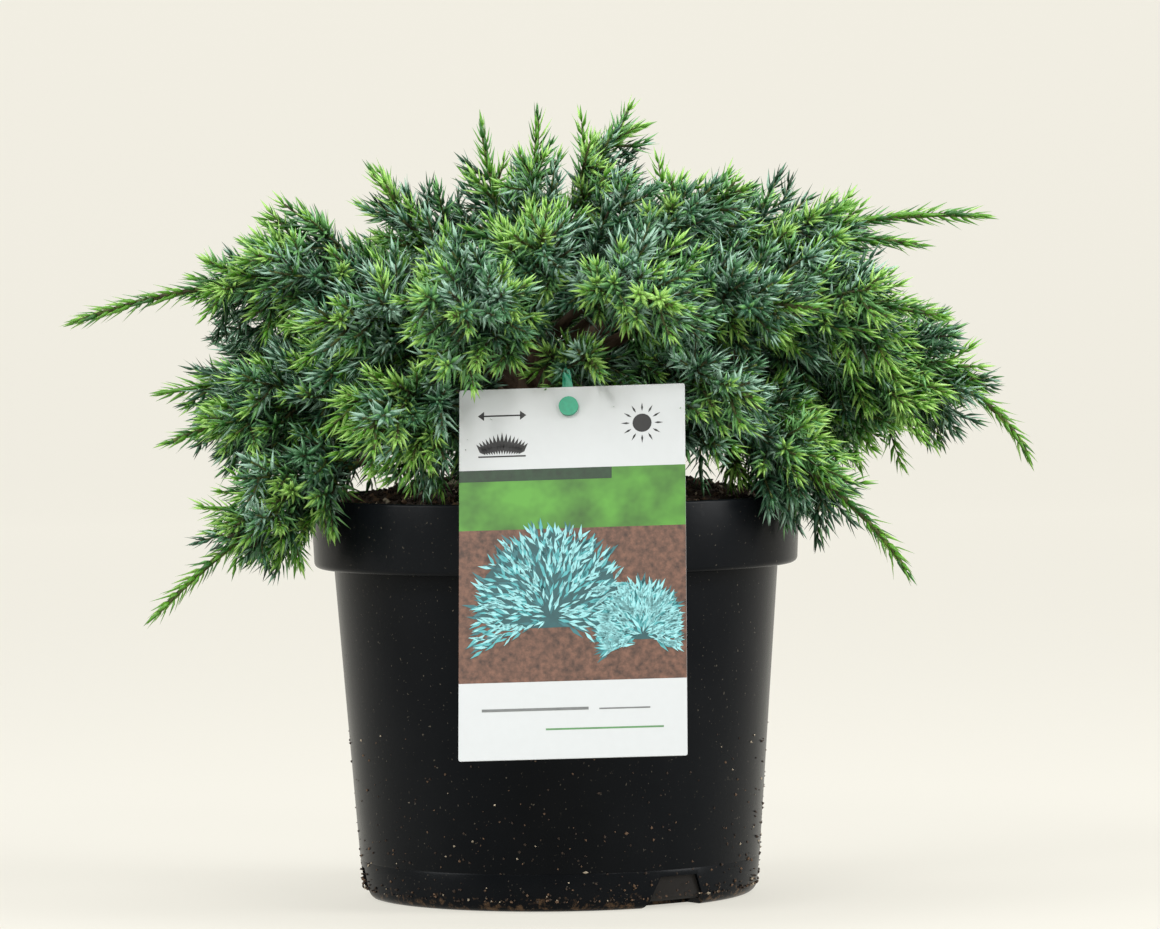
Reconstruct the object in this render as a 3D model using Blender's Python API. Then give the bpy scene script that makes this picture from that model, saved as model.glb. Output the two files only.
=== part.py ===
"""A blue carpet juniper, a low spreading conifer, in a round nursery pot with a card label tied to it.

Metres, +Z up. The origin is the centre of the pot's flat underside and the front faces -Y.
Azimuths are in degrees from +X, anticlockwise seen from above, so that the front is at 270.
The stem forks into boughs, each bough ends where its mass of foliage begins, and a mass is a stem with
twigs and larger than life needles fused on. Every mass keeps to the points nearest its own stem.
"""

import math
import random
from collections import namedtuple

import bmesh
import bpy
import numpy as np
from mathutils import Matrix, Vector

# Clearance between neighbouring solids
GAP = 0.0003

# Edges sharper than this many degrees show as edges
SHARP_ANGLE = 38

# Nursery pot
POT_HEIGHT = 0.1557
POT_WALL = 0.0014
POT_FLOOR = 0.0022
POT_BASE_RADIUS = 0.0768
POT_BASE_CORNER = 0.0045
POT_BODY_TOP_RADIUS = 0.0864
COLLAR_HEIGHT = 0.0273
COLLAR_BOTTOM_RADIUS = 0.0941
COLLAR_TOP_RADIUS = 0.0952
COLLAR_CORNER = 0.0022
LIP_EXTRA = 0.0003
POT_SIDES = 44
NOTCH_COUNT = 3
NOTCH_AZIMUTH = 306
NOTCH_FOOT_WIDTH = 0.028
NOTCH_HEAD_WIDTH = 0.017
NOTCH_HEIGHT = 0.0122
NOTCH_DEPTH = 0.013
NOTCH_BELOW = 0.004

# Soil, domed up to a small level place round the stem
SOIL_EDGE_HEIGHT = 0.1500
SOIL_CROWN_HEIGHT = 0.1620
SOIL_CROWN_RADIUS = 0.024
SOIL_SIDES = 28
SOIL_RINGS = 4

# Stem
STEM_FOOT = Vector((-0.005, 0.006, SOIL_CROWN_HEIGHT + GAP))
STEM_LEAN = Vector((-0.06, -0.05, 1.0))
STEM_HEIGHT = 0.057
STEM_TOP_RADIUS = 0.0056
STEM_BODY_RADIUS = 0.0088
STEM_FLARE = 0.0062
STEM_FLARE_HEIGHT = 0.006
STEM_LOBES = 3
STEM_LOBE_DEPTH = 0.16
STEM_LOBE_TURN = 0.6
STEM_BEVEL_HEIGHT = 0.002
STEM_BEVEL_WIDTH = 0.0018
STEM_RINGS = (0, 0.003, 0.007, 0.013, 0.024, 0.040, STEM_HEIGHT - STEM_BEVEL_HEIGHT)
STEM_SIDES = 12

# Boughs
BOUGH_ROOT_RADIUS = 0.0022
BOUGH_TIP_RADIUS = 0.0016
BOUGH_SIDES = 5
BOUGH_STEP = 0.015

# Foliage: stems and twigs have three sides, and a whorl of three needles grows out of those sides
SPINE_ROOT_RADIUS = 0.0022
SPINE_TIP_RADIUS = 0.0012
TWIG_ROOT_RADIUS = 0.0018
TWIG_TIP_RADIUS = 0.0011
TWIG_PITCH = 0.0165
TWIG_LONGEST = 0.050
TWIG_SHORTEST = 0.018
TWIG_GROWTH = 0.60
TWIG_SPLAY = 54
TWIG_DROOP = 0.10
NEEDLE_LENGTH = 0.0165
NEEDLE_FOOT = 0.0036
NEEDLE_SPLAY = 46
TIP_NEEDLE_SPLAY = 26
TIP_LENGTH = 0.011
WHORL_PITCH = 0.0125
GOLDEN_TURN = 137.5
BARE_ON_STEM = 0.016
BARE_ON_BOUGH = 0.004
BARE_TWIG = 0.005
SPACE_MARGIN = 0.0006
SPACE_STEP = 0.003
SPACE_STEM_POINTS = 12
SPACE_STEM_MARGIN = 0.0015
SEED = 41

# Corners of a cut or joined solid that lie closer than this become one, or than a smaller distance where
# that would open the solid
WELDS = (0.00003, 0.00001, 0.000003)

# Card label
CARD_WIDTH = 0.0854
CARD_HEIGHT = 0.1442
CARD_THICKNESS = 0.0006
CARD_CENTRE = Vector((0.0065, -0.1052, 0.1310))
CARD_LEAN = 18.7
CARD_YAW = 6.0
CARD_ROLL = 1.3
CARD_HOLE_RADIUS = 0.0017
CARD_HOLE_ACROSS = -0.0012
CARD_HOLE_DOWN = 0.0078

# Tie that holds the card to a bough
BUTTON_RADIUS = 0.0037
BUTTON_THICKNESS = 0.0014
PEG_RADIUS = 0.0013
TAB_HEIGHT = 0.0150
TAB_FOOT_WIDTH = 0.0066
TAB_HEAD_WIDTH = 0.0026
TAB_THICKNESS = 0.0016
STRAP_RADIUS = 0.0008
TIE_BOUGH = "front_over_label"
TIE_ALONG_BOUGH = 0.80
LOOP_POINTS = 18

# One shoot: where its tip lies, how steeply it leaves the stem and how it ends, its storey, the share of
# it that is bare bough, and the length of its slender last run.
Shoot = namedtuple("Shoot", "azimuth reach height rise end storey bare whip")

# Heights above the stem's foot at which a storey's shoots leave in turn, and how far from its axis
Storey = namedtuple("Storey", "roots spread")
LOW = Storey((0.0080, 0.0155), 0.0)
MIDDLE = Storey((0.0230, 0.0305, 0.0380), 0.0)
UPPER = Storey((0.0450,), 0.0)
LEADER = Storey((0.0540,), 0.0036)

SHOOTS = {
    # The low shoots seen from the front, from left to right
    "left_low": Shoot(168, 0.164, 0.195, 35, -12, LOW, 0.36, 0.02),
    "left_middle": Shoot(197, 0.160, 0.177, 30, -22, LOW, 0.36, 0.02),
    "left_droop": Shoot(208, 0.176, 0.111, 26, -42, LOW, 0.42, 0.05),
    "front_left_low": Shoot(234, 0.128, 0.180, 26, -30, LOW, 0.38, 0.01),
    "front_over_label": Shoot(281, 0.100, 0.200, 48, -38, LOW, 0.50, 0.02),
    "front_right_low": Shoot(309, 0.128, 0.192, 34, -18, LOW, 0.38, 0.01),
    "right_front_droop": Shoot(331, 0.156, 0.121, 52, -62, LOW, 0.40, 0.05),
    "right_droop": Shoot(355, 0.186, 0.162, 44, -76, LOW, 0.38, 0.04),
    # The middle shoots
    "left_long": Shoot(190, 0.193, 0.223, 54, -22, MIDDLE, 0.36, 0.06),
    "left_upper": Shoot(170, 0.112, 0.250, 56, 12, MIDDLE, 0.36, 0.01),
    "front_left_middle": Shoot(221, 0.126, 0.224, 46, -8, MIDDLE, 0.36, 0.01),
    "front_middle": Shoot(252, 0.126, 0.226, 52, -8, MIDDLE, 0.38, 0.01),
    "front_right_middle": Shoot(292, 0.130, 0.228, 54, -10, MIDDLE, 0.38, 0.01),
    "right_front_middle": Shoot(320, 0.140, 0.226, 50, -10, MIDDLE, 0.36, 0.02),
    "right_middle": Shoot(339, 0.166, 0.222, 46, -14, MIDDLE, 0.36, 0.02),
    "right_upper": Shoot(355, 0.150, 0.249, 56, -14, MIDDLE, 0.36, 0.03),
    "right_long": Shoot(12, 0.181, 0.261, 62, -6, MIDDLE, 0.40, 0.06),
    # The shoots of the top, which leave the stem itself
    "top_left": Shoot(192, 0.074, 0.288, 46, 58, UPPER, 0.0, 0.01),
    "top_far_right": Shoot(334, 0.092, 0.276, 46, 16, UPPER, 0.0, 0.01),
    "front_top": Shoot(268, 0.080, 0.262, 44, 20, UPPER, 0.0, 0.01),
    "top_middle": Shoot(160, 0.029, 0.306, 82, 84, LEADER, 0.0, 0.02),
    "top_centre": Shoot(250, 0.014, 0.310, 82, 86, LEADER, 0.0, 0.02),
    "top_right": Shoot(355, 0.042, 0.299, 80, 4, LEADER, 0.0, 0.01),
}

# The shoots behind, which the front hides: evenly spaced rows
Row = namedtuple("Row", "name count first_azimuth last_azimuth reach height rise end storey bare")
BACK_ROWS = (
    Row("back_low", 4, 28, 146, 0.158, 0.186, 34, -24, LOW, 0.38),
    Row("back_middle", 3, 48, 128, 0.134, 0.238, 50, -6, MIDDLE, 0.38),
    Row("back_top", 1, 84, 84, 0.062, 0.280, 46, 40, UPPER, 0.0),
)
BACK_REACH_SPREAD = 0.012
BACK_HEIGHT_SPREAD = 0.010
BACK_WHIP = 0.015


def remove_everything():
    for item in list(bpy.data.objects):
        bpy.data.objects.remove(item, do_unlink=True)


def plain_material(name, colour, roughness):
    made = bpy.data.materials.new(name)
    made.use_nodes = True
    shader = made.node_tree.nodes["Principled BSDF"]
    shader.inputs["Base Color"].default_value = (*colour, 1.0)
    shader.inputs["Roughness"].default_value = roughness
    return made


def add_object(name, points, faces, look, smooth=False):
    mesh = bpy.data.meshes.new(name)
    mesh.from_pydata([tuple(p) for p in points], [], faces)
    mesh.materials.append(look)
    made = bpy.data.objects.new(name, mesh)
    bpy.context.scene.collection.objects.link(made)
    if smooth:
        mesh.shade_smooth()
        mesh.set_sharp_from_angle(angle=math.radians(SHARP_ANGLE))
    return made


def is_one_closed_body(mesh):
    """Whether every edge has two faces and all the corners hang together."""
    shape = bmesh.new()
    shape.from_mesh(mesh)
    closed = len(shape.verts) > 0 and all(edge.is_manifold for edge in shape.edges)
    reached, waiting = set(), list(shape.verts)[:1]
    while waiting:
        corner = waiting.pop()
        if corner in reached:
            continue
        reached.add(corner)
        waiting += [edge.other_vert(corner) for edge in corner.link_edges]
    whole = len(reached) == len(shape.verts)
    shape.free()
    return closed and whole


def welded(mesh, distance):
    """A copy whose corners that nearly touch are merged, without the faces that vanish with them."""
    shape = bmesh.new()
    shape.from_mesh(mesh)
    bmesh.ops.triangulate(shape, faces=shape.faces)
    bmesh.ops.remove_doubles(shape, verts=shape.verts, dist=distance)
    bmesh.ops.dissolve_degenerate(shape, edges=shape.edges, dist=distance / 3)
    bmesh.ops.triangulate(shape, faces=shape.faces)
    result = mesh.copy()
    shape.to_mesh(result)
    shape.free()
    return result


def join(target, others, operation="UNION"):
    """One Boolean with all the others, which are then removed."""
    group = bpy.data.collections.new("operands")
    bpy.context.scene.collection.children.link(group)
    for other in others:
        group.objects.link(other)
    step = target.modifiers.new("join", "BOOLEAN")
    step.operation = operation
    step.operand_type = "COLLECTION"
    step.collection = group
    tries = [(solver, distance) for solver in ("EXACT", "MANIFOLD") for distance in WELDS]
    for solver, distance in tries:
        step.solver = solver
        depsgraph = bpy.context.evaluated_depsgraph_get()
        whole = bpy.data.meshes.new_from_object(target.evaluated_get(depsgraph))
        result = welded(whole, distance)
        if is_one_closed_body(result):
            break
    target.modifiers.clear()
    target.data = result
    for other in others:
        bpy.data.objects.remove(other, do_unlink=True)
    bpy.data.collections.remove(group)


def direction(azimuth, elevation):
    a, e = math.radians(azimuth), math.radians(elevation)
    return Vector((math.cos(a) * math.cos(e), math.sin(a) * math.cos(e), math.sin(e)))


def arc(centre, radius, first, last, steps):
    """Points on a circle in the plane of a turned profile, from one angle to another in degrees."""
    points = []
    for k in range(steps + 1):
        angle = math.radians(first + (last - first) * k / steps)
        points.append((centre[0] + radius * math.cos(angle), centre[1] + radius * math.sin(angle)))
    return points


def turned(name, profile, sides, look):
    """A solid turned round the Z axis. The profile runs from the axis out, up, in and back to the axis."""
    points, rings, faces = [], [], []
    for radius, height in profile:
        if radius == 0.0:
            rings.append([len(points)])
            points.append((0.0, 0.0, height))
            continue
        rings.append(list(range(len(points), len(points) + sides)))
        for k in range(sides):
            angle = 2 * math.pi * k / sides
            points.append((radius * math.cos(angle), radius * math.sin(angle), height))
    for low, high in zip(rings, rings[1:]):
        for k in range(sides):
            n = (k + 1) % sides
            if len(low) == 1:
                faces.append((low[0], high[n], high[k]))
            elif len(high) == 1:
                faces.append((low[k], low[n], high[0]))
            else:
                faces.append((low[k], low[n], high[n], high[k]))
    return add_object(name, points, faces, look, smooth=True)


class Path:
    """A smooth line as close points, read by its length."""

    def __init__(self, points):
        self.points = points
        self.marks = [0.0]
        for a, b in zip(points, points[1:]):
            self.marks.append(self.marks[-1] + (b - a).length)
        self.length = self.marks[-1]

    def at(self, s):
        s = min(max(s, 0.0), self.length)
        for k in range(len(self.marks) - 1):
            if s <= self.marks[k + 1]:
                share = (s - self.marks[k]) / (self.marks[k + 1] - self.marks[k])
                return self.points[k].lerp(self.points[k + 1], share)
        return self.points[-1].copy()

    def heading(self, s):
        reach = self.length * 0.01
        return (self.at(s + reach) - self.at(s - reach)).normalized()

    def part(self, first, last, step):
        """Evenly spaced places between two lengths, about a step apart."""
        count = max(1, round((last - first) / step))
        return [first + (last - first) * k / count for k in range(count + 1)]


def hermite(start, end, leave, arrive, count=48):
    points = []
    for k in range(count + 1):
        t = k / count
        a = 2 * t**3 - 3 * t**2 + 1
        b = t**3 - 2 * t**2 + t
        c = -2 * t**3 + 3 * t**2
        d = t**3 - t**2
        points.append(start * a + leave * b + end * c + arrive * d)
    return Path(points)


def limb(name, path, places, radii, sides, look):
    """A tapering tube along a path, its rings square to the path."""
    points, faces = [], []
    side = None
    for s, radius in zip(places, radii):
        ahead = path.heading(s)
        if side is None:
            side = ahead.orthogonal()
        side = (side - ahead * side.dot(ahead)).normalized()
        other = ahead.cross(side)
        centre = path.at(s)
        for k in range(sides):
            angle = 2 * math.pi * k / sides
            points.append(centre + side * (radius * math.cos(angle)) + other * (radius * math.sin(angle)))
    rings = len(places)
    for r in range(rings - 1):
        for k in range(sides):
            n = (k + 1) % sides
            faces.append((r * sides + k, r * sides + n, (r + 1) * sides + n, (r + 1) * sides + k))
    faces.append(tuple(reversed(range(sides))))
    last = (rings - 1) * sides
    faces.append(tuple(range(last, last + sides)))
    return add_object(name, points, faces, look)


def tapered(first, last, count):
    return [first + (last - first) * k / (count - 1) for k in range(count)]


# Pot and soil


def wall_radius(height):
    """The outside of the pot's body, below the collar."""
    top = POT_HEIGHT - COLLAR_HEIGHT
    return POT_BASE_RADIUS + (POT_BODY_TOP_RADIUS - POT_BASE_RADIUS) * height / top


def inner_outline(inset):
    """The pot's inner side from the floor's middle to below the lip, moved in by the inset."""
    step = POT_HEIGHT - COLLAR_HEIGHT + POT_WALL
    wall = POT_WALL + inset
    return [
        (0.0, POT_FLOOR + inset),
        (wall_radius(0) - wall - POT_BASE_CORNER / 2, POT_FLOOR + inset),
        (wall_radius(POT_BASE_CORNER) - wall, POT_BASE_CORNER + inset),
        (POT_BODY_TOP_RADIUS - wall, step + inset),
        (COLLAR_BOTTOM_RADIUS - wall, step + inset),
    ]


def make_pot(look):
    step = POT_HEIGHT - COLLAR_HEIGHT
    lip = POT_WALL / 2 + LIP_EXTRA
    foot = arc((POT_BASE_RADIUS - POT_BASE_CORNER, POT_BASE_CORNER), POT_BASE_CORNER, -90, 0, 2)
    corner = arc((COLLAR_BOTTOM_RADIUS - COLLAR_CORNER, step + COLLAR_CORNER), COLLAR_CORNER, -90, 0, 2)
    rim = arc((COLLAR_TOP_RADIUS - lip, POT_HEIGHT - lip), lip, 0, 180, 3)
    outside = [(0.0, 0.0), *foot, (POT_BODY_TOP_RADIUS, step), *corner, *rim]
    pot = turned("pot", outside + inner_outline(0.0)[::-1], POT_SIDES, look)
    join(pot, [notch_cutter(k, look) for k in range(NOTCH_COUNT)], "DIFFERENCE")
    pot.data.shade_smooth()
    pot.data.set_sharp_from_angle(angle=math.radians(SHARP_ANGLE))


def notch_cutter(index, look):
    """A block with sloping sides that opens the corner between the pot's wall and floor."""
    slope = (NOTCH_FOOT_WIDTH - NOTCH_HEAD_WIDTH) / NOTCH_HEIGHT
    outline = []
    for height in (-NOTCH_BELOW, NOTCH_HEIGHT):
        half = (NOTCH_HEAD_WIDTH + slope * (NOTCH_HEIGHT - height)) / 2
        outline += [(half, height), (-half, height)]
    outline = [outline[0], outline[2], outline[3], outline[1]]
    inner, outer = POT_BASE_RADIUS - NOTCH_DEPTH, POT_BASE_RADIUS + NOTCH_DEPTH
    points = [(r, y, z) for r in (inner, outer) for y, z in outline]
    faces = [(3, 2, 1, 0), (4, 5, 6, 7)]
    faces += [(k, (k + 1) % 4, (k + 1) % 4 + 4, k + 4) for k in range(4)]
    cutter = add_object("notch_cutter", points, faces, look)
    turn = math.radians(NOTCH_AZIMUTH + 360 * index / NOTCH_COUNT)
    cutter.data.transform(Matrix.Rotation(turn, 4, "Z"))
    return cutter


def soil_height(radius):
    """The soil's surface at a distance from the pot's axis."""
    if radius <= SOIL_CROWN_RADIUS:
        return SOIL_CROWN_HEIGHT
    edge = COLLAR_TOP_RADIUS - POT_WALL
    share = min((radius - SOIL_CROWN_RADIUS) / (edge - SOIL_CROWN_RADIUS), 1.0)
    return SOIL_EDGE_HEIGHT + (SOIL_CROWN_HEIGHT - SOIL_EDGE_HEIGHT) * math.cos(share * math.pi / 2)


def make_soil(look):
    inner = inner_outline(GAP)
    edge = inner[-1][0]
    surface = []
    for k in range(SOIL_RINGS + 1):
        radius = edge + (SOIL_CROWN_RADIUS - edge) * k / SOIL_RINGS
        surface.append((radius, soil_height(radius)))
    turned("soil", [*inner, *surface, (0.0, SOIL_CROWN_HEIGHT)], SOIL_SIDES, look)


# Stem and boughs


def stem_axis(height):
    """A point on the stem's axis, at a height above its foot."""
    return STEM_FOOT + STEM_LEAN * height


def stem_radius(height):
    share = height / STEM_HEIGHT
    body = STEM_BODY_RADIUS + (STEM_TOP_RADIUS - STEM_BODY_RADIUS) * share
    return body + STEM_FLARE * math.exp(-height / STEM_FLARE_HEIGHT)


def stem_solid(name, grow, look):
    """The stem, or a shape grown evenly round it that cuts its neighbours clear."""
    heights = [*STEM_RINGS, STEM_HEIGHT + grow]
    points, faces = [], []
    for row, height in enumerate(heights):
        centre = stem_axis(height)
        radius = stem_radius(height) + grow
        if row == len(heights) - 1:
            radius -= STEM_BEVEL_WIDTH
        flare = math.exp(-height / STEM_FLARE_HEIGHT)
        for k in range(STEM_SIDES):
            angle = 2 * math.pi * k / STEM_SIDES
            lobe = STEM_LOBE_DEPTH * flare * math.cos(STEM_LOBES * angle + STEM_LOBE_TURN)
            lobed = radius * (1 + lobe)
            points.append(centre + Vector((lobed * math.cos(angle), lobed * math.sin(angle), 0)))
    for row in range(len(heights) - 1):
        for k in range(STEM_SIDES):
            n = (k + 1) % STEM_SIDES
            a, b = row * STEM_SIDES, (row + 1) * STEM_SIDES
            faces.append((a + k, a + n, b + n, b + k))
    faces.append(tuple(reversed(range(STEM_SIDES))))
    faces.append(tuple(range(b, b + STEM_SIDES)))
    return add_object(name, points, faces, look, smooth=True)


def all_shoots():
    """The shoots seen from the front and those behind, by name."""
    rng = random.Random(SEED)
    shoots = dict(SHOOTS)
    for row in BACK_ROWS:
        for k in range(row.count):
            share = k / max(row.count - 1, 1)
            azimuth = row.first_azimuth + (row.last_azimuth - row.first_azimuth) * share
            reach = row.reach + rng.uniform(-1, 1) * BACK_REACH_SPREAD
            height = row.height + rng.uniform(-1, 1) * BACK_HEIGHT_SPREAD
            shoots[f"{row.name}_{k + 1}"] = Shoot(
                azimuth, reach, height, row.rise, row.end, row.storey, row.bare, BACK_WHIP
            )
    return shoots


def shoot_paths(shoots):
    """The whole line of each shoot, from the stem's axis to its tip. Neighbours in a storey leave the
    stem at different heights."""
    paths = {}
    for storey in (LOW, MIDDLE, UPPER, LEADER):
        names = sorted((n for n in shoots if shoots[n].storey == storey), key=lambda n: shoots[n].azimuth)
        for rank, name in enumerate(names):
            shoot = shoots[name]
            out = direction(shoot.azimuth, 0)
            start = stem_axis(storey.roots[rank % len(storey.roots)]) + out * storey.spread
            end = Vector((out.x * shoot.reach, out.y * shoot.reach, shoot.height))
            chord = (end - start).length
            leave = direction(shoot.azimuth, shoot.rise) * chord
            arrive = direction(shoot.azimuth, shoot.end) * chord
            paths[name] = hermite(start, end, leave, arrive)
    return paths


def make_bough(name, path, bare, look):
    end = path.length * bare
    places = path.part(0.0, end, BOUGH_STEP)
    radii = tapered(BOUGH_ROOT_RADIUS, BOUGH_TIP_RADIUS, len(places))
    bough = limb("bough_" + name, path, places, radii, BOUGH_SIDES, look)
    join(bough, [stem_solid("stem_cutter", GAP, look)], "DIFFERENCE")


# The space of each mass


class Space:
    """Tells whether a ball lies in a mass's own space and clear of the limbs, pot, soil, card and tie."""

    def __init__(self, shoots, paths, card, tie_points):
        spine_points, spine_owner, bough_points, bough_radii = [], [], [], []
        for index, (name, shoot) in enumerate(shoots.items()):
            path = paths[name]
            end = path.length * shoot.bare
            for s in path.part(end, path.length, SPACE_STEP):
                spine_points.append(path.at(s))
                spine_owner.append(index)
            if end > 0:
                for s in path.part(0.0, end, SPACE_STEP):
                    bough_points.append(path.at(s))
                    bough_radii.append(BOUGH_ROOT_RADIUS)
        for k in range(SPACE_STEM_POINTS):
            height = STEM_HEIGHT * k / (SPACE_STEM_POINTS - 1)
            bough_points.append(stem_axis(height))
            bough_radii.append(stem_radius(height) + SPACE_STEM_MARGIN)
        for point in tie_points:
            bough_points.append(point)
            bough_radii.append(TAB_FOOT_WIDTH / 2)
        self.spines = np.array(spine_points)
        self.owner = np.array(spine_owner)
        self.solids = np.array(bough_points)
        self.radii = np.array(bough_radii)
        self.to_card = card.inverted()

    def holds(self, index, point, radius):
        away = np.linalg.norm(self.spines - np.array(point), axis=1)
        own = away[self.owner == index].min()
        other = away[self.owner != index].min()
        if (other - own) / 2 < radius + SPACE_MARGIN:
            return False
        clear = np.linalg.norm(self.solids - np.array(point), axis=1) - self.radii
        if clear.min() < radius + SPACE_MARGIN:
            return False
        return self.clear_of_pot(point, radius) and self.clear_of_card(point, radius)

    def clear_of_pot(self, point, radius):
        margin = radius + SPACE_MARGIN * 2
        out = math.hypot(point.x, point.y)
        if out > COLLAR_TOP_RADIUS + margin:
            return point.z > margin
        floor = soil_height(out)
        if out > COLLAR_TOP_RADIUS - POT_WALL - margin - 0.001:
            floor = POT_HEIGHT
        return point.z > floor + margin

    def clear_of_card(self, point, radius):
        margin = radius + SPACE_MARGIN
        local = self.to_card @ point
        beside = abs(local.x) > CARD_WIDTH / 2 + margin
        past = abs(local.y) > CARD_HEIGHT / 2 + margin
        return beside or past or abs(local.z) > CARD_THICKNESS / 2 + margin


# Foliage


def splayed(ahead, roll, splay):
    """A direction that leans away from a heading by the splay, at a roll round it, both in degrees."""
    side = ahead.cross(Vector((0, 0, 1)))
    if side.length < 0.1:
        side = ahead.cross(Vector((1, 0, 0)))
    side.normalize()
    up = side.cross(ahead)
    turn = math.radians(roll)
    lean = side * math.cos(turn) + up * math.sin(turn)
    angle = math.radians(splay)
    return (ahead * math.cos(angle) + lean * math.sin(angle)).normalized()


def twig_path(root, heading, forward, length):
    """A twig that leaves at its heading and bends towards the shoot's own direction."""
    end = root + (heading * 0.72 + forward * 0.28).normalized() * length
    end.z -= TWIG_DROOP * length
    return hermite(root, end, heading * length, (heading + forward * 0.9).normalized() * length, 10)


def share_inside(space, index, path, radius, first):
    """The share of a twig, from 1 down to 0, that stays in the mass's space."""
    steps = 10
    for k in range(1, steps + 1):
        s = path.length * k / steps
        if s > first and not space.holds(index, path.at(s), radius):
            return (k - 1) / steps
    return 1.0


def needled(name, path, first, last, radii, bare, holds, rng, look):
    """A three-sided stem ending in a point. Past its bare length, each whorl is a short run of the stem
    whose three sides rise into needles, turned by a sixth from the whorl before."""
    points, faces = [], []
    core_end = last - TIP_LENGTH
    run = core_end - first - bare
    count = max(1, round(run / WHORL_PITCH))
    starts = [first + bare + run * k / count for k in range(count)]
    rings = [(first, 0, False)]
    for k, s in enumerate(starts):
        rings.append((s, k, True))
        rings.append((s + NEEDLE_FOOT, k, False))
    side = path.heading(first).orthogonal()
    frames = []
    for s, turn, _ in rings:
        ahead = path.heading(s)
        side = (side - ahead * side.dot(ahead)).normalized()
        other = ahead.cross(side)
        share = (s - first) / (last - first)
        radius = radii[0] + (radii[1] - radii[0]) * share
        centre = path.at(s)
        frames.append((centre, ahead, side, other))
        for k in range(3):
            angle = math.radians(60 * turn + 120 * k)
            points.append(centre + side * (radius * math.cos(angle)) + other * (radius * math.sin(angle)))
    faces.append((2, 1, 0))
    for r in range(len(rings) - 1):
        s, turn, is_whorl = rings[r]
        a, b = 3 * r, 3 * r + 3
        turned_on = rings[r + 1][1] != turn
        for k in range(3):
            n = (k + 1) % 3
            if is_whorl:
                centre, ahead, side_way, other_way = frames[r]
                angle = math.radians(60 * turn + 120 * k + 60)
                out = side_way * math.cos(angle) + other_way * math.sin(angle)
                near_tip = max(0.0, 1 - (last - s) / (3 * WHORL_PITCH))
                splay = NEEDLE_SPLAY + (TIP_NEEDLE_SPLAY - NEEDLE_SPLAY) * near_tip + rng.uniform(-7, 7)
                lean = math.radians(splay)
                way = ahead * math.cos(lean) + out * math.sin(lean)
                length = NEEDLE_LENGTH * (1 - 0.3 * near_tip) * rng.uniform(0.85, 1.1)
                corners = [points[a + k], points[a + n], points[b + n], points[b + k]]
                foot = sum(corners, Vector()) / 4
                tests = [foot + way * (length * part) for part in (0.3, 0.65, 1.0)]
                if all(holds(spot) for spot in tests):
                    tip = len(points)
                    points.append(foot + way * length)
                    foot_ring = (a + k, a + n, b + n, b + k)
                    faces += [(foot_ring[c], foot_ring[(c + 1) % 4], tip) for c in range(4)]
                    continue
            if turned_on:
                faces += [(a + k, a + n, b + k), (a + n, b + n, b + k)]
            else:
                faces += [(a + k, a + n, b + n), (a + k, b + n, b + k)]
    tip = len(points)
    points.append(path.at(last))
    b = 3 * (len(rings) - 1)
    faces += [(b + k, b + (k + 1) % 3, tip) for k in range(3)]
    return add_object(name, points, faces, look)


def twig_reach(to_tip, whip):
    """How long twigs grow at a distance from the shoot's tip."""
    if to_tip < whip:
        return 0.0
    return min(TWIG_LONGEST, TWIG_SHORTEST + TWIG_GROWTH * (to_tip - whip))


def make_mass(index, name, shoot, path, space, look):
    rng = random.Random(SEED * 100 + index)

    def holds(point):
        return space.holds(index, point, NEEDLE_FOOT / 4)

    on_stem = shoot.bare == 0.0
    first = path.length * shoot.bare + GAP
    bare = BARE_ON_STEM if on_stem else BARE_ON_BOUGH
    radii = (SPINE_ROOT_RADIUS, SPINE_TIP_RADIUS)
    mass = needled("foliage_" + name, path, first, path.length, radii, bare, holds, rng, look)
    if on_stem:
        join(mass, [stem_solid("stem_cutter", GAP, look)], "DIFFERENCE")
    twigs = []
    roll = rng.uniform(0, 360)
    s = first + bare
    while s < path.length - TIP_LENGTH:
        roll += GOLDEN_TURN + rng.uniform(-20, 20)
        longest = twig_reach(path.length - s, shoot.whip) * rng.uniform(0.85, 1.05)
        if longest >= TWIG_SHORTEST:
            ahead = path.heading(s)
            heading = splayed(ahead, roll, TWIG_SPLAY + rng.uniform(-8, 8))
            twig = twig_path(path.at(s), heading, ahead, longest)
            reach = twig.length * share_inside(space, index, twig, TWIG_ROOT_RADIUS, 0.004)
            if reach >= TWIG_SHORTEST:
                radii = (TWIG_ROOT_RADIUS, TWIG_TIP_RADIUS)
                twigs.append(needled("twig", twig, 0.0, reach, radii, BARE_TWIG, holds, rng, look))
        s += TWIG_PITCH * rng.uniform(0.85, 1.15)
    join(mass, twigs)


# Card label and its tie


def card_frame():
    """The card's own axes: x across, y up the card and z out of its face."""
    roll = Matrix.Rotation(math.radians(-CARD_ROLL), 4, "Y")
    lean = Matrix.Rotation(math.radians(-CARD_LEAN), 4, "X")
    yaw = Matrix.Rotation(math.radians(-CARD_YAW), 4, "Z")
    upright = Matrix.Rotation(math.radians(90), 4, "X")
    return Matrix.Translation(CARD_CENTRE) @ yaw @ lean @ roll @ upright


def block(name, size, centre, look):
    points = []
    for z in (-1, 1):
        for x, y in ((-1, -1), (1, -1), (1, 1), (-1, 1)):
            points.append(centre + Vector((x * size[0], y * size[1], z * size[2])) / 2)
    faces = [(3, 2, 1, 0), (4, 5, 6, 7)]
    faces += [(k, (k + 1) % 4, (k + 1) % 4 + 4, k + 4) for k in range(4)]
    return add_object(name, points, faces, look)


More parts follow.
